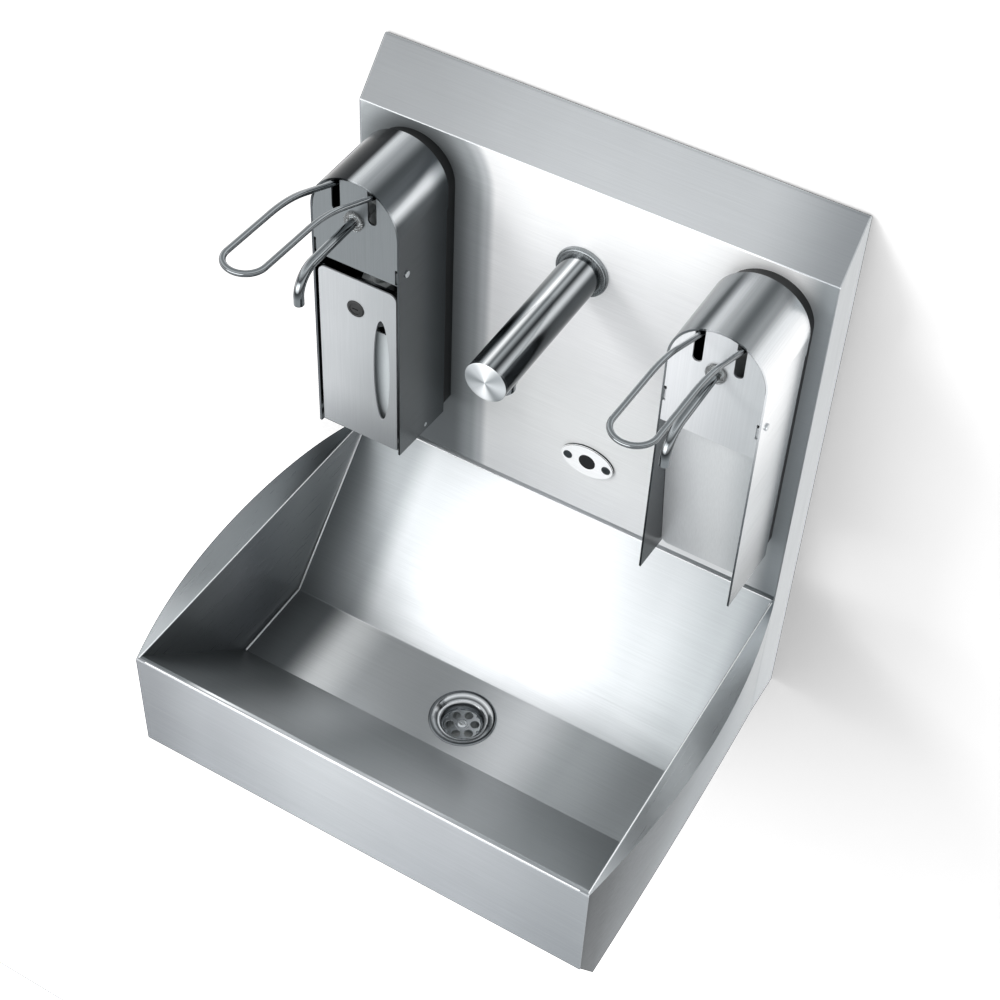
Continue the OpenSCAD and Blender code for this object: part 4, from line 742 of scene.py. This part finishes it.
class SinkSeams(bpy.types.Operator):
    """Polished weld beads in the bowl's corners and bright rods on the rim's folds, all in a near-white painted
    highlight finish
    """

    bl_idname = "sink.seams"
    bl_label = "Welds and folds"

    def execute(self, context):
        sizes = context.scene.sink_sizes
        welds = []
        for x in (-BOWL_END, BOWL_END):
            corner = [(x, -o, z) for o, z in BOWL_CORNERS]
            welds += list(zip(corner, corner[1:]))
        rods("corner_welds", sizes.weld_radius, welds, "weld", "basin_bowl")
        # thin near-white rods along the folds: painted highlights of the bent edges
        folds = [((-FOLD_END, -o, z), (FOLD_END, -o, z)) for o, z in FOLDS]
        folds += [tuple((side * x, y, z) for x, y, z in SIDE_FOLD) for side in (-1, 1)]
        rods("rim_folds", sizes.fold_highlight_radius, folds, "weld", "basin_bowl")
        return {"FINISHED"}


class SinkWaste(bpy.types.Operator):
    """Waste flange, strainer, seal, nut and tail pipe"""

    bl_idname = "sink.waste"
    bl_label = "Waste"

    def execute(self, context):
        finish_all("waste_flange", "waste_seal", "waste_nut", "strainer", "strainer_screw", "tail_pipe")
        return {"FINISHED"}


class SinkSpout(bpy.types.Operator):
    """Spout with its rosette, end, outlet and nut"""

    bl_idname = "sink.spout"
    bl_label = "Spout"

    def execute(self, context):
        finished("rosette", finish="rosette")
        finish_all("spout_tube", "aerator", "spout_nut")
        # the spout's end face gets its painted sectors
        paint(finished("spout_cap"), "spout_end", lambda n, c: n.y < -SLANTED)
        return {"FINISHED"}


class SinkSensor(bpy.types.Operator):
    """Sensor plate, its screws, eye and body"""

    bl_idname = "sink.sensor"
    bl_label = "Sensor"

    def execute(self, context):
        # the plate's upright edge gets the dark painted reflection
        paint(finished("sensor_plate"), "sensor_edge", lambda n, c: abs(n.y) < EDGE_ON)
        finished("sensor_screws", finish="dull_screw")
        finish_all("sensor_eye", "sensor_body")
        return {"FINISHED"}


class SinkHousings(bpy.types.Operator):
    """The dispensers' housings, front plates, back plates and guard"""

    bl_idname = "sink.housings"
    bl_label = "Dispenser housings"

    def execute(self, context):
        finish_all("back_plate_left", "back_plate_right", "housing_left", "front_plate_left", "guard_right",
                   "housing_screws", "dispenser_bolts")
        # the right housing gets its own painted reflections
        finished("housing_right", finish="housing_right")
        # the right front plate: the same sheet as the left one, painted lighter
        finished("front_plate_right", finish="front_plate_painted_light")
        return {"FINISHED"}


class SinkDosing(bpy.types.Operator):
    """Levers, axles, pumps, pistons, springs, dose tubes and their clear sleeves"""

    bl_idname = "sink.dosing"
    bl_label = "Levers and pumps"

    def execute(self, context):
        finish_all("axles", "nipples")
        for side in ("left", "right"):
            finish_all(*(part + "_" + side for part in ("lever", "pump", "piston", "dose_tube")))
            coil("spring_" + side)
        return {"FINISHED"}


class SinkCover(bpy.types.Operator):
    """Lockable cover with its pin, lock, bottle and dip tube"""

    bl_idname = "sink.cover"
    bl_label = "Cover and lock"

    def execute(self, context):
        finish_all("cover_left", "cover_pin", "lock_sleeve", "lock_nut", "lock_plug", "lock_cam", "bottle",
                   "dip_tube")
        return {"FINISHED"}


class SinkServices(bpy.types.Operator):
    """Everything behind the panel: frame, rails, ties, hose, valve, box and cables"""

    bl_idname = "sink.services"
    bl_label = "Behind the panel"

    def execute(self, context):
        shown = {piece.name.rsplit("_", 1)[0] for piece in bpy.data.objects
                 if piece.name.endswith(("_finished", "_coil"))}
        finish_all(*(node for node in frame["nodes"] if node not in shown))
        return {"FINISHED"}


class SinkStage(bpy.types.Operator):
    """Camera, lights, wall and floor"""

    bl_idname = "sink.stage"
    bl_label = "Stage"

    def execute(self, context):
        set_stage()
        return {"FINISHED"}


STEPS = (SinkPanel, SinkBasin, SinkSeams, SinkWaste, SinkSpout, SinkSensor, SinkHousings, SinkDosing,
         SinkCover, SinkServices, SinkStage)


class SinkSidebar(bpy.types.Panel):
    """Lists the steps in their order, with the sizes and colours"""

    bl_idname = "VIEW3D_PT_hand_wash_sink"
    bl_label = "Hand wash sink"
    bl_space_type = "VIEW_3D"
    bl_region_type = "UI"
    bl_category = "Hand wash sink"

    def draw(self, context):
        for group in (context.scene.sink_sizes, context.scene.sink_colours):
            for name in type(group).__annotations__:
                self.layout.prop(group, name)
        for step in STEPS:
            self.layout.operator(step.bl_idname)


CLASSES = (SinkSizes, SinkColours, *STEPS, SinkSidebar)


def register():
    """Makes the add-on's classes and settings known."""
    for each in CLASSES:
        bpy.utils.register_class(each)
    bpy.types.Scene.sink_sizes = bpy.props.PointerProperty(type=SinkSizes)
    bpy.types.Scene.sink_colours = bpy.props.PointerProperty(type=SinkColours)


def unregister():
    """Takes the add-on's classes and settings away."""
    del bpy.types.Scene.sink_colours
    del bpy.types.Scene.sink_sizes
    for each in reversed(CLASSES):
        bpy.utils.unregister_class(each)


def main():
    """Runs the steps in their order."""
    register()
    for step in STEPS:
        family, name = step.bl_idname.split(".")
        getattr(getattr(bpy.ops, family), name)()


if __name__ == "__main__":
    main()
